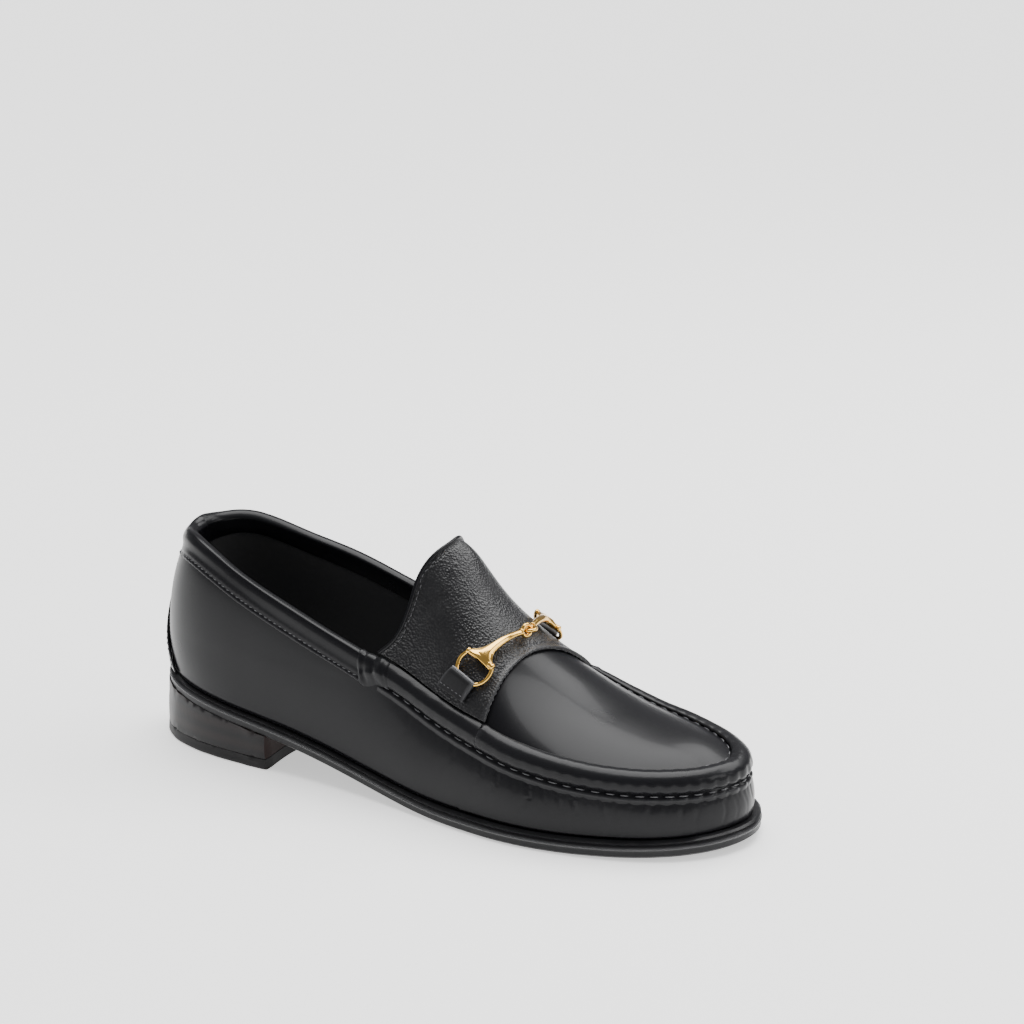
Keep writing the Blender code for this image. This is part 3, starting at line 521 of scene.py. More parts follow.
def finish(piece, look, nodes=(), smooth=180):
    """Shade, fix to the shoe and replace its solids."""
    if look is not None:
        piece.data.materials.clear()
        piece.data.materials.append(look)
    select_only(piece)
    if smooth >= 180:
        bpy.ops.object.shade_smooth()
    else:
        bpy.ops.object.shade_smooth_by_angle(angle=math.radians(smooth))
    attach(piece, "root")
    if nodes:
        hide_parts(*nodes)
    return piece


# A per-point value for the lighter colour: scuffed edges, and painted highlights elsewhere.
def store_scuff_and_highlight(piece, values):
    layer = piece.data.attributes.new("rub", "FLOAT", "POINT")
    layer.data.foreach_set("value", np.clip(values, 0, 1).astype(np.float32))


def is_outer(centre, normal):
    """Whether a face looks away from the middle of the shoe."""
    axis = np.array([np.clip(centre[0], HEEL_MIDDLE, TOE_MIDDLE), 0.0, AXIS_HEIGHT])
    return float(normal @ (centre - axis)) > 0


def two_sided(piece, outside):
    """Outer leather on the faces that look out, lining on the rest."""
    piece.data.materials.clear()
    piece.data.materials.append(outside)
    piece.data.materials.append(lining)
    for face in piece.data.polygons:
        face.material_index = 0 if is_outer(np.array(face.center), np.array(face.normal)) else 1


print("corners are held to", HOLD, "of what subdividing takes")

# %% [markdown]
# ## The rhythm of the hand-sewn seam
# Pleats, lip and roll pinches repeat along the seam. So one phase is counted along the
# seam, a whole number at each stitch place, and each of these forms reads it. Stitch places
# lie closer round the toe than at the rear; the thread is sewn at an even step. Soft steps
# and humps shape the rest.


# %% The rhythm of the seam
def wave(phase, sharpness=4):
    """Narrow peaks at every whole number of the phase."""
    return (0.5 + 0.5 * np.cos(2 * np.pi * phase)) ** sharpness


def soft_step(value, low, high):
    """From 0 to 1 between two values, with soft ends."""
    t = np.clip((value - low) / (high - low), 0, 1)
    return t * t * (3 - 2 * t)


def hump(value, place, width):
    """A smooth hump of height 1 round a place."""
    return np.exp(-((value - place) / width) ** 2)


REAR_PITCH, TOE_GAIN = 8.6 * MM, 2.3 * MM
pitch = REAR_PITCH - TOE_GAIN * soft_step(SEAM_FOOT[:, 0], 0.03, 0.11)
SEAM_PHASE = np.cumsum(np.full(len(SEAM_FOOT), SEAM_RUN[1]) / pitch)
print("pleats along the seam", round(SEAM_PHASE[-1]))

# %% [markdown]
# ## The wall and apron
# The upper wraps the foot as one skin. On a hand-sewn toe the wall is gathered into the
# apron seam, so the leather falls away below it in fine pleats. Cloth simulation could
# gather it, but pleats set by the seam's own rhythm stay even and quick. The solid is
# subdivided, and the band below the seam once more, so that it can hold them.

# %% Upper
GATHERED_REACH, GATHERED_FROM = 30 * MM, -5 * MM
upper = quad_copy("upper", "upper_skin")
two_sided(upper, calf)
crease_sharp(upper, 50, 0.9)
refine_true(upper, 2)
_, seam_gap = nearest(points_of(upper), SEAM_FOOT)
near_seam = (seam_gap < GATHERED_REACH) & (points_of(upper)[:, 0] > GATHERED_FROM)
edit(upper)
leave_edit()
for face in upper.data.polygons:
    face.select = face.material_index == 0 and all(near_seam[i] for i in face.vertices)
bpy.ops.object.mode_set(mode="EDIT")
bpy.ops.mesh.subdivide(number_cuts=1, smoothness=1.0)
leave_edit()
print("upper points", len(upper.data.vertices))

# %% [markdown]
# ## Pleats below the seam
# Each pleat starts a little under the seam and fades down the wall. Some run far and some
# are short, they wander, and they are deepest round the toe. A bump in the finish would
# look the same from the front, but the outline of the toe would stay too smooth.

# %% Pleats
PLEAT_DEPTH, RIPPLE = 0.34 * MM, 0.12 * MM
LONG_PLEAT, SHORT_PLEAT = (8 * MM, 24 * MM), (4 * MM, 11 * MM)


def push_pleats(piece):
    """Press the gathered pleats into a wall below the seam."""
    points, out = points_of(piece), normals_of(piece)
    index, seam_gap = nearest(points, SEAM_FOOT)
    below = soft_step(SEAM_FOOT[index][:, 2] - points[:, 2], -1 * MM, 3 * MM)
    toe = soft_step(SEAM_FOOT[index][:, 0], 0.02, 0.075)
    wander = 0.12 * np.sin(points[:, 2] * 420 + SEAM_RUN[index] * 90)
    chosen = 0.5 + 0.5 * np.sin(np.round(SEAM_PHASE[index] + 0.5 + wander) * 2.4)
    pleat = wave(SEAM_PHASE[index] + 0.5 + wander, 9) * (0.15 + 0.85 * chosen)
    half = wave(SEAM_PHASE[index] * 2 + 0.25 + 2 * wander, 3)
    fade = soft_step(seam_gap, 1 * MM, 4 * MM) * (1 - soft_step(seam_gap, *LONG_PLEAT))
    short = soft_step(seam_gap, 1 * MM, 3 * MM) * (1 - soft_step(seam_gap, *SHORT_PLEAT))
    swell = (0.25 + 0.75 * toe) * below
    press = PLEAT_DEPTH * swell * (fade * pleat + 0.4 * short * half)
    ripple = RIPPLE * np.sin(points @ np.array([90.0, 60.0, 130.0])) * below
    set_points(piece, points - out * (press + ripple)[:, None])


push_pleats(upper)
_, seam_gap = nearest(points_of(upper), SEAM_FOOT)
# A lighter band on the wall along the lip, about 3.4 mm under the seam: a painted highlight.
store_scuff_and_highlight(upper, 0.25 * hump(seam_gap, 3.4 * MM, 1.2 * MM))
finish(upper, None, ["upper"])
UPPER_TREE = tree_of(upper)
print("upper faces", len(upper.data.polygons))

# %% [markdown]
# ## Lines beside a border
# Cords, lips and stitches all follow a border at some distance. A line is moved sideways
# over the skin and dropped back on it. Moving it in plan would be simpler, but the wall
# is steep there, so the distance along the leather would come out wrong.


# %% Helpers for lines on a skin
def on_skin(points, tree):
    spots, outs = [], []
    for point in points:
        spot, out, _, _ = tree.find_nearest(Vector(point))
        spots.append(spot)
        outs.append(out)
    return np.array(spots), np.array(outs)


def beside(line, tree, distance):
    """A line moved sideways over a skin, to the right of its way seen from outside."""
    spots, outs = on_skin(line, tree)
    outs = soften(outs)
    side = np.cross(ways_of(line), outs)
    side /= np.linalg.norm(side, axis=1)[:, None]
    moved, outs = on_skin(spots + side * distance, tree)
    return soften(moved), soften(outs)


def beside_or_back(line, tree, distance, cost):
    """A line moved sideways, or to its other side where that costs its middle more."""
    moved, outs = beside(line, tree, distance)
    middle = len(line) // 2
    if cost(moved[middle]) > cost(line[middle]):
        moved, outs = beside(line, tree, -distance)
    return moved, outs


probe, _ = beside(SEAM_FOOT, UPPER_TREE, 2 * MM)
middle = len(SEAM_FOOT) // 2
DOWN = 1 if probe[middle, 2] < SEAM_FOOT[middle, 2] else -1
print("the wall lies on side", DOWN, "of the seam")

# %% [markdown]
# ## Strips
# A lip of leather is a strip: rows of points beside a line, each lifted off the skin by
# its own height, and joined by quads. A curve with a bevel would need no rows, but its
# section would be the same all along, and a real lip is pinched at each stitch.


# %% Helpers for strips
def grid_mesh(name, rows, closed=False):
    """A quad mesh over rows of points, all of the same length."""
    count, size = len(rows), len(rows[0])
    faces = []
    for r in range(count if closed else count - 1):
        after = (r + 1) % count
        for c in range(size - 1):
            faces.append((r * size + c, r * size + c + 1, after * size + c + 1, after * size + c))
    mesh = bpy.data.meshes.new(name)
    mesh.from_pydata(np.vstack(rows).tolist(), [], faces)
    return link(name, mesh)


def strip(name, line, tree, section, lift_of):
    """A raised strip: rows at set distances beside a line, each lifted off the skin."""
    rows = []
    for distance, height in section:
        moved, outs = beside(line, tree, distance)
        rows.append(moved + outs * lift_of(height)[:, None])
    piece = grid_mesh(name, rows)
    face = piece.data.polygons[len(piece.data.polygons) // 2]
    _, out, _, _ = tree.find_nearest(face.center)
    if out.dot(face.normal) < 0:
        piece.data.flip_normals()
    return piece


print("a strip is built row by row")

# %% [markdown]
# ## One stitch, many places
# A stitch is a short grain of waxed thread whose ends dive into the leather. One small
# sphere is stretched into that shape and copied along a line, each a little different in
# length. Hundreds show on a shoe, so one has only a few dozen faces.

# %% Stitches
# Each kind of stitch in millimetres: pitch, length, width, height
HAND_STITCH = (6.3, 4.2, 0.75, 0.7)
INNER_STITCH = (6.3, 4.0, 0.7, 0.6)
BAND_STITCH = (2.9, 2.0, 0.55, 0.5)
TONGUE_STITCH = (2.6, 1.8, 0.5, 0.45)
STAY_STITCH = (2.8, 1.9, 0.5, 0.45)
LOOP_STITCH = (2.3, 1.7, 0.45, 0.4)
bpy.ops.mesh.primitive_uv_sphere_add(segments=8, ring_count=6, radius=0.5)
stitch_seed = bpy.context.object
stitch_seed.rotation_euler = (0, math.pi / 2, 0)
bpy.ops.object.transform_apply(rotation=True)
SEED_POINTS = points_of(stitch_seed)
SEED_FACES = [tuple(face.vertices) for face in stitch_seed.data.polygons]
bpy.data.objects.remove(stitch_seed)


def sew(name, line, outs, stitch, slant=0.0, lift=0.05 * MM):
    """A finished row of stitches along a line, their ends turned down into the leather."""
    spacing, length, width, height = (value * MM for value in stitch)
    run = np.concatenate([[0], np.cumsum(np.linalg.norm(np.diff(line, axis=0), axis=1))])
    ways = ways_of(line)
    points, faces = [], []
    at = spacing / 2
    while at < run[-1] - length / 2:
        k = int(np.searchsorted(run, at))
        way, out = ways[k], outs[k] / np.linalg.norm(outs[k])
        side = np.cross(out, way)
        way = way * math.cos(slant) + side * math.sin(slant)
        side = np.cross(out, way)
        turn = 1 + 0.06 * rng.standard_normal()
        local = SEED_POINTS * np.array([length * turn, width, height])
        dip = -(np.abs(SEED_POINTS[:, 0]) * 2) ** 3 * height * 0.55
        base = len(points) * len(SEED_POINTS)
        faces += [tuple(base + i for i in face) for face in SEED_FACES]
        points.append(line[k] + out * lift + local[:, :1] * way + local[:, 1:2] * side
                      + (local[:, 2:] + dip[:, None]) * out)
        at += spacing
    mesh = bpy.data.meshes.new(name)
    mesh.from_pydata(np.vstack(points).tolist(), [], faces)
    return finish(link(name, mesh), thread)


print("faces of one stitch", len(SEED_FACES))

# %% [markdown]
# ## The gathered lip
# Under the roll the edge of the wall stands proud as a thin lip, pinched in at every
# stitch. It is a strip over the wall with its height drawn down at each stitch place, and
# the big hand stitches lie in the groove between the lip and the roll.

# %% Lip and its stitches
# Distance under the seam and height over the wall, in millimetres
LIP_SECTION = ((0.2, -0.3), (0.7, 0.15), (1.3, 0.2), (1.8, 0.65), (2.4, 0.95), (3.0, 0.9),
               (3.6, 0.5), (4.3, 0.12), (5.0, -0.15))


def scallop(height):
    """The lip's height along the seam, pinched at each stitch."""
    pinch = wave(SEAM_PHASE, 2) * (0.35 + 0.65 * soft_step(SEAM_FOOT[:, 0], 0.04, 0.11))
    return height * (1 - 0.5 * pinch) - 0.12 * MM * pinch


lip = strip("gathered_lip", SEAM_FOOT, UPPER_TREE,
            [(DOWN * away * MM, height * MM) for away, height in LIP_SECTION], scallop)
_, lip_gap = nearest(points_of(lip), SEAM_FOOT)
# The crest of the lip is painted lighter: a painted highlight.
store_scuff_and_highlight(lip, 0.8 * hump(lip_gap, 2.7 * MM, 0.5 * MM))
finish(lip, calf)
line, outs = beside(SEAM_FOOT, UPPER_TREE, DOWN * 1.0 * MM)
seam_thread = sew("seam_thread", line, outs, HAND_STITCH, lift=0.35 * MM)
print("lip and thread", len(lip.data.polygons), len(seam_thread.data.polygons))

# %% [markdown]
# ## The rolled seam
# Apron and wall are sewn together over a cord, which makes a broad rounded roll. Its
# outer flank is drawn in at each stitch, and where the front and side seams meet the
# two cut edges stand up a little either side of the joint. A plain bevelled curve would
# miss both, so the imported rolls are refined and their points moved.

# %% Rolls
PINCH, TOP_PINCH, JOINT_RISE = 0.45, 0.16, 0.35
JOINTS = (length_of(foot_lateral), length_of(foot_lateral) + length_of(foot_toe))
rolls = []
for node in ROLLS:
    roll = refined(node, node + "_skin", 60, 0.7, 3)
    points, out = points_of(roll), normals_of(roll)
    index, foot_gap = nearest(points, SEAM_FOOT)
    pinch = wave(SEAM_PHASE[index], 2) * (1 - soft_step(foot_gap, 2 * MM, 7.5 * MM))
    top = soft_step(foot_gap, 7 * MM, 12 * MM) * wave(SEAM_PHASE[index], 2)
    ridge = sum(hump(SEAM_RUN[index], joint, 1.3 * MM) for joint in JOINTS)
    slow = np.sin(SEAM_RUN[index] * 260) * 0.05 * MM
    drawn = 0.35 + 0.65 * soft_step(points[:, 0], 0.04, 0.11)
    move = ridge * JOINT_RISE * MM - (pinch * PINCH + top * TOP_PINCH) * drawn * MM + slow
    set_points(roll, points + out * move[:, None])
    # Lighter at the raised cut edges of the joints as scuffing, and over the top of the roll as a
    # painted highlight.
    store_scuff_and_highlight(roll, 0.3 * ridge + 0.12 * soft_step(foot_gap, 4 * MM, 7 * MM))
    rolls.append(finish(roll, calf, [node]))
print("roll faces", [len(roll.data.polygons) for roll in rolls])

# %% [markdown]
# ## The thread inside the toe
# The same thread shows again along the inner foot of the roll, where it comes up through
# the apron. It shows only round the toe and on the inner side.

# %% Inner thread
INNER_FROM = -12 * MM
line = even_line(inner_foot("apron_roll_toe"), LINE_STEP)
line = line[line[:, 1] > INNER_FROM]
line, outs = beside_or_back(line, UPPER_TREE, 0.7 * MM, lambda spot: spot[0])
inner_thread = sew("inner_thread", line, outs, INNER_STITCH, lift=0.1 * MM)
print("inner thread faces", len(inner_thread.data.polygons))

# %% [markdown]
# ## The instep piece
# The pebbled piece under the bit laps the smooth vamp with a skived, raised edge, and
# ends behind in a free tongue. Its tip is cut round and its shoulder is full, because the
# leather was moulded on the last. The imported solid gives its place, and a smoothed copy of
# its rear border gives the round tip.

# %% Instep piece
SHOULDER_RISE, TIP_REACH = 4.2 * MM, 12 * MM
SHOULDER_SIDE, SHOULDER_BACK = (10 * MM, 10 * MM), (11 * MM, 13 * MM)
tongue = refined("tongue", "instep_skin", 50, 0.6, 3)
borders = long_lines("tongue", 0.5)
rear_edge = max((line for line in borders if line[:, 0].mean() < 0.005),
                key=lambda line: line[:, 2].mean())
lap_edge = max((line for line in borders if line[:, 0].mean() > 0.035),
               key=lambda line: line[:, 2].mean())
rear_edge, lap_edge = (even_line(line if line[0, 1] <= line[-1, 1] else line[::-1], LINE_STEP)
                       for line in (rear_edge, lap_edge))
sharp_rear, soft_rear = rear_edge, soften(rear_edge.copy(), 260)


def crown(points):
    """Round off the tip of the free tongue and fill out its shoulder."""
    index, rear_gap = nearest(points, sharp_rear)
    moved = points + (soft_rear - sharp_rear)[index] * hump(rear_gap, 0, TIP_REACH)[:, None]
    moved[:, 2] += (SHOULDER_RISE * hump(points[:, 1], *SHOULDER_SIDE)
                    * hump(rear_gap, *SHOULDER_BACK))
    return moved


set_points(tongue, crown(points_of(tongue)))
rear_edge = crown(rear_edge)
TONGUE_TREE = tree_of(tongue)
print("tongue tip height mm", round(float(rear_edge[:, 2].max()) / MM, 1))

# %% [markdown]
# ## Borders of the instep piece
# Thread pulls the leather down along both borders, and the skived front edge stands up a
# little over the vamp. So the points near each border sink under the stitch row and rise
# at the edge, only on the side that looks up.

# %% Borders of the instep piece
points, out = points_of(tongue), normals_of(tongue)
_, lap_gap = nearest(points, lap_edge)
_, rear_gap = nearest(points, rear_edge)
upward = soft_step(out[:, 2], 0.1, 0.4)
lap_rise = 0.35 * MM * hump(lap_gap, 0, 1.0 * MM)
stitch_dip = 0.22 * MM * hump(lap_gap, 2.6 * MM, 0.6 * MM)
rear_dip = 0.22 * MM * hump(rear_gap, 2.2 * MM, 0.6 * MM)
swell = 0.12 * MM * np.sin(points @ np.array([150.0, 40.0, 60.0]))
set_points(tongue, points + out * (upward * (lap_rise - stitch_dip - rear_dip + swell))[:, None])
store_scuff_and_highlight(tongue, 0.75 * hump(lap_gap, 0, 0.7 * MM) + 0.5 * hump(rear_gap, 0, 0.7 * MM))
two_sided(tongue, instep_calf)
finish(tongue, None, ["tongue"])
print("instep faces", len(tongue.data.polygons))

# %% [markdown]
# ## Cord and thread of the instep piece
# The free border of the tongue is turned over a thin cord. A cord is a curve with a round
# bevel, made into a mesh at once. Both borders carry a fine stitch row beside them.


# %% Cord and thread of the instep piece
def cord(name, line, radius, look, roundness=2):
    """A round cord along a line, from a bevelled curve turned into a mesh."""
    curve = bpy.data.curves.new(name, "CURVE")
    curve.dimensions = "3D"
    curve.bevel_depth = radius
    curve.bevel_resolution = roundness
    curve.use_fill_caps = True
    spline = curve.splines.new("POLY")
    spline.points.add(len(line) - 1)
    for point, spot in zip(spline.points, line):
        point.co = (*spot, 1.0)
    piece = bpy.data.objects.new(name, curve)
    bpy.context.scene.collection.objects.link(piece)
    select_only(piece)
    bpy.ops.object.convert(target="MESH")
    piece = bpy.context.object
    return finish(piece, look)


INSTEP_MIDDLE = np.array([0.02, 0.0])


def from_instep(spot):
    """How far a place lies from the middle of the instep piece in plan."""
    return np.linalg.norm(spot[:2] - INSTEP_MIDDLE)


line, outs = beside_or_back(lap_edge[8:-8], TONGUE_TREE, 2.6 * MM, from_instep)
sew("lap_thread", line, outs, BAND_STITCH)
line, outs = beside_or_back(rear_edge[4:-4], TONGUE_TREE, 2.2 * MM, from_instep)
sew("tongue_thread", line, outs, TONGUE_STITCH)
tongue_cord = cord("tongue_cord", rear_edge[::2], 0.95 * MM, calf)
print("tongue cord faces", len(tongue_cord.data.polygons))

# %% [markdown]
# ## Collar band
# The topline is bound with a folded band over a soft filling, so its top is thick and
# round. Behind the heel it stands highest and turns in one even round. A torus could be
# bent to it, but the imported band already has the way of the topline, so it is refined and
# its foot line rounded, and its points follow that line.

# %% Collar band
collar = refined("collar_binding", "collar_skin", 70, 0.35, 2)
edit(collar)
bpy.ops.mesh.subdivide(number_cuts=1, smoothness=1.0)
leave_edit()
HEEL_RISE = 4.5 * MM
band_foot = even_line(outer_foot("collar_binding"), LINE_STEP)
if band_foot[0, 1] > band_foot[-1, 1]:
    band_foot = band_foot[::-1]
points, out = points_of(collar), normals_of(collar)
index, foot_gap = nearest(points, band_foot)
rounding = soften(band_foot.copy(), 320) - band_foot
rounding *= (1 - soft_step(band_foot[:, 0], -135 * MM, -100 * MM))[:, None]
points = points + rounding[index]
band_foot = band_foot + rounding
turn = np.degrees(np.arctan2(points[:, 1], -120 * MM - points[:, 0]))
height = points[:, 2] - band_foot[index, 2]
points[:, 2] += HEEL_RISE * hump(turn, 8, 32) * soft_step(height, 1 * MM, 9 * MM)
print("collar foot length mm", round(length_of(band_foot) / MM))

# %% [markdown]
# ## Filling and puckers of the collar
# The filling makes the top swell, most of all at the heel. The lower edge is stitched
# tight: a groove runs along the thread, and the leather puckers at every stitch. At the
# back the foot of the band lies close on the stay.

# %% Filling and puckers
FILLING, PUCKER, GROOVE, TIGHT = 0.45 * MM, 0.22 * MM, 0.3 * MM, 1.3 * MM
phase = index * LINE_STEP / (BAND_STITCH[0] * MM)
low = 1 - soft_step(foot_gap, 0.5 * MM, 4 * MM)
pucker = wave(phase + 0.5, 2) * low * PUCKER
behind = 1 - soft_step(points[:, 0], -140 * MM, -95 * MM)
filled = soft_step(foot_gap, 4.5 * MM, 9 * MM) * FILLING
rolled = filled * (1 + 1.6 * behind)
tight = (TIGHT * (1 - soft_step(points[:, 0], -146 * MM, -125 * MM))
         * (1 - soft_step(foot_gap, 3 * MM, 9 * MM)) * (out[:, 0] < 0.2))
slow = 0.12 * MM * np.sin(index * 0.021) + 0.08 * MM * np.sin(index * 0.067 + 1)
groove = GROOVE * hump(foot_gap, 1.6 * MM, 0.5 * MM)
set_points(collar, points + out * (rolled + slow * filled / FILLING
                                   - pucker - groove - tight)[:, None])
store_scuff_and_highlight(collar, 0.5 * hump(foot_gap, 0, 0.5 * MM))
finish(collar, calf, ["collar_binding"])
COLLAR_TREE = tree_of(collar)
line, outs = beside_or_back(band_foot[6:-6], COLLAR_TREE, 1.6 * MM, lambda spot: -spot[2])
sew("collar_thread", line, outs, BAND_STITCH, slant=0.2)
print("collar faces", len(collar.data.polygons))

# %% [markdown]
# ## Tucks where the collar meets the seam
# Where the band ends, its leather is folded over the end of the roll and sewn down. The
# fold is a sleeve: from an axis through the joint, rays find how far the leather around
# it reaches, the hollows between are bridged, and three soft folds are drawn across.
# Cloth simulation would drape it too, but would not keep the folds where they belong.

# %% Tucks
# Each tuck's axis, rear end and front end in millimetres, and the roll that it covers
TUCKS = (("tuck_lateral", (-25.5, -32.2, 55.0), (-8.5, -32.6, 57.6), "apron_roll_lateral"),
         ("tuck_medial", (-22.0, 31.0, 62.0), (-4.5, 31.6, 63.4), "apron_roll_medial"))
RAY, LEAST_REACH, FOLD = 14 * MM, 3 * MM, 0.45
roll_trees = {roll.name[:-5]: tree_of(roll) for roll in rolls}


def reaches(first, last, side, up, angles, under, steps):
    """How far the leather stands off an axis, by step along it and by angle."""
    reach = np.zeros((steps, len(angles)))
    for r, u in enumerate(np.linspace(0, 1, steps)):
        spot = first + (last - first) * u
        for c, angle in enumerate(angles):
            ray = side * math.cos(angle) + up * math.sin(angle)
            start = spot + ray * RAY
            hits = [tree.ray_cast(Vector(start), Vector(-ray), RAY)[3] for tree in under]
            reach[r, c] = max([RAY - hit for hit in hits if hit is not None] or [LEAST_REACH])
    return reach


def bridge_over(reach):
    """Stretch the leather over its hollows, then soften it both ways."""
    for _ in range(120):
        reach[1:-1] = np.maximum(reach[1:-1], (reach[:-2] + reach[2:]) / 2)
    for _ in range(2):
        reach[1:-1] = 0.25 * reach[:-2] + 0.5 * reach[1:-1] + 0.25 * reach[2:]
        reach[:, 1:-1] = 0.25 * reach[:, :-2] + 0.5 * reach[:, 1:-1] + 0.25 * reach[:, 2:]


def wrap(name, first, last, under, steps=33, turns=29):
    """A leather sleeve drawn over whatever lies round an axis, with three soft folds."""
    first, last = np.array(first) * MM, np.array(last) * MM
    way = unit(last - first)
    side = unit(np.array([0, math.copysign(1, first[1]), 0]) - way * way[1])
    up = np.cross(way, side) * math.copysign(1, np.cross(way, side)[2])
    angles = np.radians(np.linspace(-58, 165, turns))
    reach = reaches(first, last, side, up, angles, under, steps)
    bridge_over(reach)
    u = np.linspace(0, 1, steps)[:, None]
    cover = soft_step(np.minimum(u, 1 - u), 0.0, 0.09)
    folds = FOLD * wave(u * 3 + 0.35 + 0.1 * np.sin(angles * 2)[None, :], 2)
    reach += (0.3 + 0.5 * cover - folds * cover) * MM - 0.5 * MM * (1 - cover)
    rows = [first + (last - first) * u[r] + np.outer(np.cos(angles) * reach[r], side)
            + np.outer(np.sin(angles) * reach[r], up) for r in range(steps)]
    piece = grid_mesh(name, rows)
    face = piece.data.polygons[len(piece.data.polygons) // 2]
    if np.dot(np.array(face.normal), np.array(face.center) - (first + last) / 2) < 0:
        piece.data.flip_normals()
    return finish(piece, calf)


for name, first, last, roll_name in TUCKS:
    tuck = wrap(name, first, last, (COLLAR_TREE, UPPER_TREE, roll_trees[roll_name]))
print("tuck faces", len(tuck.data.polygons))
# %% [markdown]
# ## Back stay
# A strip of calf covers the seam at the back of the heel. Its cut sides are a little
# lighter, with a stitch row inside each, and its top goes in under the collar band. A
# value stored by distance from its sides is enough for the lighter cut.

# %% Back stay
STAY_TUCK = 1.1 * MM
stay = refined("back_stay", "stay_skin", 60, 0.7, 2)
stay_lines = sorted(sharp_lines("back_stay"), key=length_of)[-12:]
sides = [line for line in stay_lines if length_of(line) > 0.055
         and np.ptp(line[:, 2]) > 0.045]
outer_sides = [max((line for line in sides if np.sign(line[:, 1].mean()) == sign),
                   key=lambda line: abs(line[:, 1].mean()) - line[:, 0].mean())
               for sign in (-1, 1)]
points = points_of(stay)
tucked = soft_step(points[:, 2], 50 * MM, 80 * MM) * STAY_TUCK
set_points(stay, points + np.array([1.0, 0, 0]) * tucked[:, None])
STAY_TREE = tree_of(stay)
stay_rub = np.zeros(len(points))
for number, side in enumerate(outer_sides):
    side = even_line(side, LINE_STEP)
    _, side_gap = nearest(points_of(stay), side)
    stay_rub = np.maximum(stay_rub, 0.6 * hump(side_gap, 0, 0.6 * MM))
    line, outs = beside_or_back(side[4:-4], STAY_TREE, 1.6 * MM, lambda spot: abs(spot[1]))
    sew(f"stay_thread_{number}", line, outs, STAY_STITCH)
store_scuff_and_highlight(stay, stay_rub)
finish(stay, calf, ["back_stay"])
print("stay faces", len(stay.data.polygons))

# %% [markdown]
# ## Sole
# The sole edge is trimmed leather, inked and burnished, with a thin bead left by the edge
# iron along its top. The bead and the top rim are painted lighter as a highlight, and the
# sides a little lighter than the top as painted light. The bead is a cord along the top rim,
# laid on the trimmed edge. A bevel on the rim would be shorter to write, but would give no
# separate shine.


# %% Sole
def part_lines(node, degrees=40):
    return sorted(sharp_lines(node, degrees), key=length_of, reverse=True)


RIM_STEP, BEAD_OUT, BEAD_DROP, BEAD_RADIUS = 0.7 * MM, 1.0 * MM, 0.45 * MM, 0.36 * MM
outsole = quad_copy("outsole", "outsole_skin")
crease_sharp(outsole, 35, 1.0)
refine(outsole, 2)
top_rim = max(part_lines("outsole")[:2], key=lambda line: line[:, 2].mean())
top_rim = even_line(np.vstack([top_rim, top_rim[:1]]), RIM_STEP)
_, rim_gap = nearest(points_of(outsole), top_rim)
# The top rim is painted lighter as a highlight; the sides are painted a little lighter than the
# top, unevenly along the sole, as painted light.
painted_side_light = 0.03 + 0.02 * np.sin(points_of(outsole)[:, 0] * 300)
on_side = np.abs(normals_of(outsole)[:, 2]) < 0.6
store_scuff_and_highlight(outsole, hump(rim_gap, 0, 0.7 * MM) + painted_side_light * on_side)
finish(outsole, sole_look, ["outsole"], smooth=50)
outward = np.cross(ways_of(top_rim), np.array([0, 0, 1.0]))
outward *= np.sign((outward * (top_rim - np.array([0.0, 0, 0.015]))).sum(axis=1).mean())
bead_line = top_rim + outward * BEAD_OUT - np.array([0, 0, BEAD_DROP])
bead_line, _ = on_skin(bead_line, tree_of(outsole))
# The bead carries the lighter finish: a painted highlight.
cord("sole_bead", soften(bead_line)[::2], BEAD_RADIUS, bead_highlight_look)
print("sole rim length mm", round(length_of(top_rim) / MM))

# %% [markdown]
# ## Heel and insole
# The heel is a stack of leather lifts over a rubber one, trimmed flush with the sole edge
# and a little wider at the floor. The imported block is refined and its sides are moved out
# by rule. Scaling it would also move its straight front face, which has to stay.

# %% Heel and insole
FLUSH, FOOT_FLARE, TOP_MEET, HEEL_HEIGHT = 0.9 * MM, 1.5 * MM, 1.3 * MM, 20 * MM
heel_rims = part_lines("heel_block")[:2]
HEEL_TOP = even_line(max(heel_rims, key=lambda line: line[:, 2].mean()), RIM_STEP)


def flare(piece):
    """Bring the trimmed heel out flush with the sole edge, as the edge iron leaves it."""
    points, out = points_of(piece), normals_of(piece)
    out[:, 2] = 0
    out[:, 0] = np.minimum(out[:, 0], 0.15)
    reach = FLUSH + FOOT_FLARE * (1 - np.clip(points[:, 2] / HEEL_HEIGHT, 0, 1))
    size = np.linalg.norm(out, axis=1)
    points += out / np.maximum(size, 0.4)[:, None] * reach[:, None]
    _, top_gap = nearest(points, HEEL_TOP)
    points[:, 2] += TOP_MEET * (1 - soft_step(top_gap, 1.4 * MM, 3.2 * MM))
    set_points(piece, points)


heel = refined("heel_block", "heel_skin", 35, 0.95, 2)
flare(heel)
heel.data.materials.clear()
heel.data.materials.append(stack_look)
heel.data.materials.append(breast_look)
for face in heel.data.polygons:
    face.material_index = 1 if face.normal.x > 0.6 else 0
finish(heel, None, ["heel_block"], smooth=40)
top_lift = refined("heel_top_lift", "top_lift_skin", 35, 0.95, 2)
flare(top_lift)
finish(top_lift, rubber_look, ["heel_top_lift"], smooth=40)
insole = refined("insole", "insole_skin", 35, 0.8, 2)
finish(insole, lining, ["insole"], smooth=50)
print("heel faces", len(heel.data.polygons))

# %% [markdown]
# ## The bit
# Each half is one casting: a ring of round wire closed by a barrel with rounded knobs,
# a bell that flares off it, a tapering bar with a flat face and bevelled flanks, a small
# collar and an eye. The two eyes are linked over the middle of the instep.

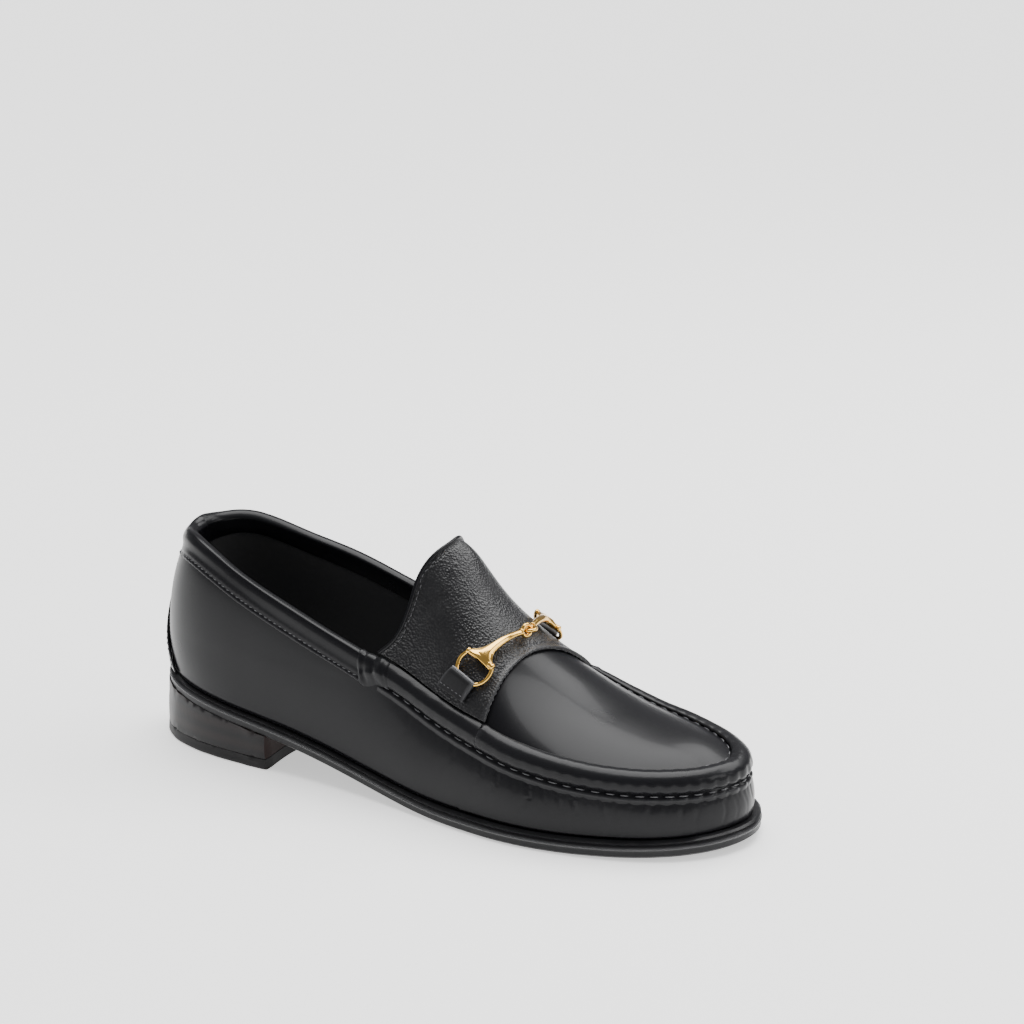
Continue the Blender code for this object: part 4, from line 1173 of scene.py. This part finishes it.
# %% Places of the bit
WIRE = 0.9 * MM
RING_REACH, CHORD = 7.6 * MM, 4.5 * MM
HALVES = {
    "bit_lateral": {"head": (0.0336, -0.0267, 0.0714), "fall": (-0.336, -0.555, -0.761),
                    "along": (0.900, 0.049, -0.432), "out": (0.277, -0.831, 0.483),
                    "bar": ((0.0356, -0.0214, 0.0747), (0.0375, -0.0161, 0.0768),
                            (0.0391, -0.0109, 0.0780), (0.0410, -0.0042, 0.0783)),
                    "eye_up": True},
    "bit_medial": {"head": (0.0357, 0.0263, 0.0736), "fall": (-0.308, 0.589, -0.747),
                   "along": (0.905, -0.060, -0.421), "out": (0.293, 0.806, 0.515),
                   "bar": ((0.0373, 0.0208, 0.0765), (0.0387, 0.0155, 0.0781),
                           (0.0399, 0.0102, 0.0789), (0.0413, 0.0034, 0.0786)),
                   "eye_up": False},
}
# Section of the bell and bar from the barrel to the collar: millimetres along, wide, thick
BAR_SECTION = ((-1.2, 12.2, 2.6), (-0.6, 12.6, 3.2), (0.6, 12.2, 3.4), (1.8, 10.6, 3.4),
               (3.2, 8.1, 3.3), (4.8, 6.0, 3.2), (6.6, 4.8, 3.0), (9.0, 4.1, 2.9),
               (13.0, 3.6, 2.7), (18.0, 3.1, 2.5), (20.5, 2.8, 2.4))
# The eight corners of that section, as shares of its half width and half thickness
BAR_CORNERS = ((0.42, 1.0), (-0.42, 1.0), (-1.0, 0.25), (-1.0, -0.4), (-0.6, -1.0),
               (0.6, -1.0), (1.0, -0.4), (1.0, 0.25))
UP = np.array([0, 0, 1.0])


def turned(mesh_object, x_way, y_way, z_way, spot):
    """Put a primitive's points in place, leaving the object itself at the origin."""
    points = points_of(mesh_object)
    frame_ways = np.array([x_way, y_way, z_way])
    set_points(mesh_object, points @ frame_ways + np.asarray(spot))
    mesh_object.matrix_world = Matrix.Identity(4)
    return mesh_object


print("halves of the bit", len(HALVES))

# %% [markdown]
# ## Ring and barrel
# The ring is round wire bent to a circle with one side open, a cord along an arc. The
# barrel closes it: a cylinder with rounded ends, and a shorter, thicker one at each end.
# One revolved outline could make the barrel, but three bevelled cylinders read as cast.


# %% Ring and barrel
def ring_and_barrel(name, head, fall, along):
    centre = head + fall * CHORD
    opening = math.acos(CHORD / RING_REACH)
    ring = [centre + (along * math.sin(a) - fall * math.cos(a)) * RING_REACH
            for a in np.linspace(opening, 2 * math.pi - opening, 65)]
    pieces = [cord(name + "_ring", np.array(ring), WIRE, gilt, 6)]
    for reach, radius, length in ((0.0, 1.2, 12.6), (-6.4, 1.5, 1.9), (6.4, 1.5, 1.9)):
        bpy.ops.mesh.primitive_cylinder_add(vertices=32, radius=radius * MM, depth=length * MM)
        knob = bpy.context.object
        modify(knob, "BEVEL", width=0.8 * MM, segments=4, limit_method="ANGLE")
        pieces.append(turned(knob, fall, np.cross(along, fall), along,
                             head + along * reach * MM))
    return pieces


print("ring radius mm", RING_REACH / MM)

# %% [markdown]
# ## Bell and bar
# One eight-sided section runs from the barrel to the collar, wide at first and then slim,
# its face flat and its flanks bevelled. It turns slowly from the shoe's side to straight
# up. Extruding step by step would do, but rows of points follow the width table exactly.


# %% Bell and bar
def bell_and_bar(name, head, out, knots):
    """The tapering bar with its bell, and the path along its middle."""
    start = 1.2 * MM
    knots = np.array([head - unit(np.array(knots[0]) - head) * start, head, *knots])
    path = even_line(knots, length_of(knots) / 70)
    run = np.linspace(0, length_of(path), len(path)) - start
    keys = np.array(BAR_SECTION) * MM
    rings = []
    for spot, way, at in zip(path, ways_of(path), run):
        wide = np.interp(at, keys[:, 0], keys[:, 1]) / 2
        thick = np.interp(at, keys[:, 0], keys[:, 2]) / 2
        up = unit(out * (1 - at / run[-1]) + UP * at / run[-1])
        up = unit(up - way * (up @ way))
        across = np.cross(up, way)
        rings.append(np.array([spot + across * wide * x + up * thick * y
                               for x, y in BAR_CORNERS]))
    count = len(rings)
    faces = [tuple(range(8))[::-1], tuple((count - 1) * 8 + i for i in range(8))]
    for r in range(count - 1):
        for c in range(8):
            n = (c + 1) % 8
            faces.append((r * 8 + c, r * 8 + n, (r + 1) * 8 + n, (r + 1) * 8 + c))
    mesh = bpy.data.meshes.new(name + "_bar")
    mesh.from_pydata(np.vstack(rings).tolist(), [], faces)
    bar = link(name + "_bar", mesh)
    face_outwards(bar)
    modify(bar, "BEVEL", width=0.22 * MM, segments=2, limit_method="ANGLE",
           angle_limit=math.radians(25))
    return bar, path


print("bell width mm", max(width for _, width, _ in BAR_SECTION))

# %% [markdown]
# ## Collar, eye and the whole casting
# A thin disc ends the bar, and a small eye stands on it, upright on one half and flat on
# the other, so that the two can link. The eye is a torus with the wire's own thickness.
# The pieces of a half are then joined, because the real one is cast in one.


# %% The castings
def join(pieces, name):
    bpy.ops.object.select_all(action="DESELECT")
    for piece in pieces:
        piece.select_set(True)
    bpy.context.view_layer.objects.active = pieces[0]
    bpy.ops.object.join()
    pieces[0].name = name
    return pieces[0]


def disc_and_eye(path, upright):
    end, way = path[-1], ways_of(path)[-1]
    lift = unit(UP - way * way[2])
    second = lift if upright else np.cross(way, lift)
    bpy.ops.mesh.primitive_cylinder_add(vertices=32, radius=1.75 * MM, depth=1.0 * MM)
    disc = bpy.context.object
    modify(disc, "BEVEL", width=0.35 * MM, segments=3, limit_method="ANGLE")
    turned(disc, second, np.cross(way, second), way, end - way * 0.6 * MM)
    bpy.ops.mesh.primitive_torus_add(major_segments=40, minor_segments=16,
                                     major_radius=2.6 * MM, minor_radius=WIRE)
    eye = turned(bpy.context.object, way, second, np.cross(way, second), end + way * 2.6 * MM)
    return [disc, eye]


def casting(name, half):
    """One half of the bit, its pieces joined."""
    head = np.array(half["head"])
    fall, along, out = (unit(half[key]) for key in ("fall", "along", "out"))
    pieces = ring_and_barrel(name, head, fall, along)
    bar, path = bell_and_bar(name, head, out, half["bar"])
    pieces.append(bar)
    pieces += disc_and_eye(path, half["eye_up"])
    whole = join(pieces, name + "_casting")
    whole.data.materials.clear()
    face_outwards(whole)
    return finish(whole, gilt, [name], smooth=32)


for bit_name, half in HALVES.items():
    print(bit_name, len(casting(bit_name, half).data.polygons))

# %% [markdown]
# ## The leather loops
# A folded strap holds each ring down: it comes out from under the roll, goes round the
# ring wire and back. Its length runs over the instep piece, so rays straight down find
# the leather under it, and a table gives how high its lower and upper sides stand there.

# %% Shape of the loops
# Share of the way from fold to base, and heights of the under and upper side, millimetres
LOOP_SECTION = ((0.0, 1.7, 2.9), (0.05, 1.0, 3.9), (0.14, 0.4, 4.5), (0.3, 0.3, 4.4),
                (0.55, 0.3, 3.5), (0.8, 0.3, 2.6), (1.0, 0.3, 2.1))
# Plan corners of each loop in millimetres: two at the fold, two at the base
LOOP_CORNERS = {"tab_lateral": ((23.1, -29.2), (34.2, -31.0), (16.2, -33.2), (30.8, -35.9)),
                "tab_medial": ((25.2, 28.8), (36.3, 30.6), (18.3, 32.8), (32.9, 35.5))}
ABOVE, BASE_HEIGHT, SIDE_THINNING = 0.15, 0.056, 0.12


def leather_under(spot):
    """The place and direction of the instep piece under a point in plan."""
    found, out, _, _ = TONGUE_TREE.ray_cast(Vector((spot[0], spot[1], ABOVE)),
                                            Vector((0, 0, -1)))
    if found is None:
        found = TONGUE_TREE.find_nearest(Vector((*spot, BASE_HEIGHT)))[0]
        out = Vector((0, math.copysign(0.5, spot[1]), 0.85))
    return np.array(found), np.array(out)


def loop_sides(corners):
    """Rows of points over the upper side and under side of a loop."""
    fold_a, fold_b, base_a, base_b = (np.array(corner) * MM for corner in corners)
    sections = np.array(LOOP_SECTION)
    over, under = [], []
    for t in np.linspace(0, 1, 25):
        low, high = (np.interp(t, sections[:, 0], sections[:, k]) * MM for k in (1, 2))
        over_row, under_row = [], []
        for share in np.linspace(-0.5, 0.5, 11):
            fold = fold_a * (0.5 - share) + fold_b * (0.5 + share)
            base = base_a * (0.5 - share) + base_b * (0.5 + share)
            found, out = leather_under(fold * (1 - t) + base * t)
            rounded = 1 - SIDE_THINNING * (2 * abs(share)) ** 4
            over_row.append(found + out * high * rounded)
            under_row.append(found + out * low)
        over.append(np.array(over_row))
        under.append(np.array(under_row))
    return over, under


print("loops", len(LOOP_CORNERS))

# %% [markdown]
# ## Making the loops
# The two sides are joined into one closed strap, its open ends are filled, and a small
# bevel rounds the cut sides. A light grey cord along the top of the fold is a painted
# highlight, and a short stitch row tacks the base.

# %% Loops
EDGE_STEP = 0.4 * MM
for node, corners in LOOP_CORNERS.items():
    over, under = loop_sides(corners)
    loop = grid_mesh(node + "_loop", over + under[::-1], closed=True)
    edit(loop)
    bpy.ops.mesh.select_mode(type="VERT")
    bpy.ops.mesh.select_all(action="DESELECT")
    bpy.ops.mesh.select_non_manifold()
    bpy.ops.mesh.edge_face_add()
    leave_edit()
    face_outwards(loop)
    modify(loop, "BEVEL", width=0.3 * MM, segments=2, limit_method="ANGLE",
           angle_limit=math.radians(50))
    cut_sides = [even_line(np.array([row[side] for row in over]), EDGE_STEP) for side in (0, -1)]
    side_gap = np.minimum(*(nearest(points_of(loop), line)[1] for line in cut_sides))
    _, fold_gap = nearest(points_of(loop), even_line(over[1], EDGE_STEP))
    # Cut sides a little lighter as scuffing; the fold much lighter as a painted highlight.
    store_scuff_and_highlight(loop, 0.3 * hump(side_gap, 0, 0.5 * MM) + 0.9 * hump(fold_gap, 0, 0.9 * MM))
    finish(loop, loop_calf, [node], smooth=60)
    fold_edge = even_line(over[1] + (over[1] - under[1]) * 0.12, 0.6 * MM)
    # A light grey cord along the top of the fold: a painted highlight.
    cord(node + "_fold", fold_edge, 0.4 * MM, fold_highlight_look)
    line, outs = on_skin(even_line(over[-5], EDGE_STEP), tree_of(loop))
    sew(node + "_thread", line, outs, LOOP_STITCH, lift=0.0)
    print(node, "faces", len(loop.data.polygons))

# %% [markdown]
# ## Floor and lights
# The photograph has a pale sweep, one broad soft light over the shoe and fainter ones
# from the sides. A polished black shoe shows mostly what it reflects, so the lamps are
# long soft panels, and the floor glows a little to look like lit paper.

# %% Floor and lights
FLOOR_SIZE, FLOOR_GLOW, SKY_STRENGTH, SKY_ANGLE, WORLD_GLOW = 8, 0.75, 4.4, 50, 0.3
bpy.ops.mesh.primitive_plane_add(size=FLOOR_SIZE)
floor = bpy.context.object
floor.name = "floor"
paper, tree, main = shader("pale paper", (0.93, 0.93, 0.925), 0.95, specular=0.0)
main.inputs["Emission Color"].default_value = (1.0, 1.0, 0.99, 1)
main.inputs["Emission Strength"].default_value = FLOOR_GLOW
floor.data.materials.append(paper)


def soft_light(name, spot, target, size, power):
    light = bpy.data.lights.new(name, "AREA")
    light.shape = "RECTANGLE"
    light.size, light.size_y = size
    light.energy = power
    lamp = bpy.data.objects.new(name, light)
    lamp.location = spot
    lamp.rotation_euler = (Vector(target) - Vector(spot)).to_track_quat("-Z", "Y").to_euler()
    bpy.context.scene.collection.objects.link(lamp)


soft_light("overhead", (0.4, 0.75, 0.9), (0.05, 0, 0.03), (1.1, 0.4), 8)
soft_light("toe side", (1.2, 0.1, 0.6), (0.08, 0, 0.03), (0.5, 0.6), 3.5)
soft_light("heel side", (-1.2, -0.5, 0.9), (-0.05, 0, 0.04), (0.6, 0.6), 0.8)
sky = bpy.data.lights.new("sky", "SUN")
sky.energy, sky.angle = SKY_STRENGTH, math.radians(SKY_ANGLE)
sky_lamp = bpy.data.objects.new("sky", sky)
sky_lamp.rotation_euler = (math.radians(-12), math.radians(-8), 0)
bpy.context.scene.collection.objects.link(sky_lamp)
world = bpy.data.worlds.new("studio")
world.use_nodes = True
world.node_tree.nodes["Background"].inputs["Color"].default_value = (0.96, 0.96, 1.0, 1)
world.node_tree.nodes["Background"].inputs["Strength"].default_value = WORLD_GLOW
bpy.context.scene.world = world
print("lights", len(bpy.data.lights))

# %% [markdown]
# ## Camera
# The camera stands on the shoe's outer side, toward the toe and a little above, at the
# angle measured from the line of the sole. It aims beside the shoe, because the shoe
# stands low and left in the picture. Its focal length is given in pixels of that picture.

# %% Camera
AZIMUTH, ELEVATION = math.radians(31.5), math.radians(17.0)
DISTANCE, FOCAL_PIXELS, PICTURE_PIXELS, SENSOR = 1.57, 2917, 1024, 36
target = Vector((-0.1214, 0.2523, 0.04))
sight = Vector((math.sin(AZIMUTH) * math.cos(ELEVATION),
                -math.cos(AZIMUTH) * math.cos(ELEVATION), math.sin(ELEVATION)))
lens = bpy.data.cameras.new("camera")
lens.lens = FOCAL_PIXELS / PICTURE_PIXELS * SENSOR
lens.sensor_width = SENSOR
camera = bpy.data.objects.new("camera", lens)
camera.location = target + sight * DISTANCE
camera.rotation_euler = sight.to_track_quat("Z", "Y").to_euler()
bpy.context.scene.collection.objects.link(camera)
bpy.context.scene.camera = camera
print("focal length mm", round(lens.lens, 1))
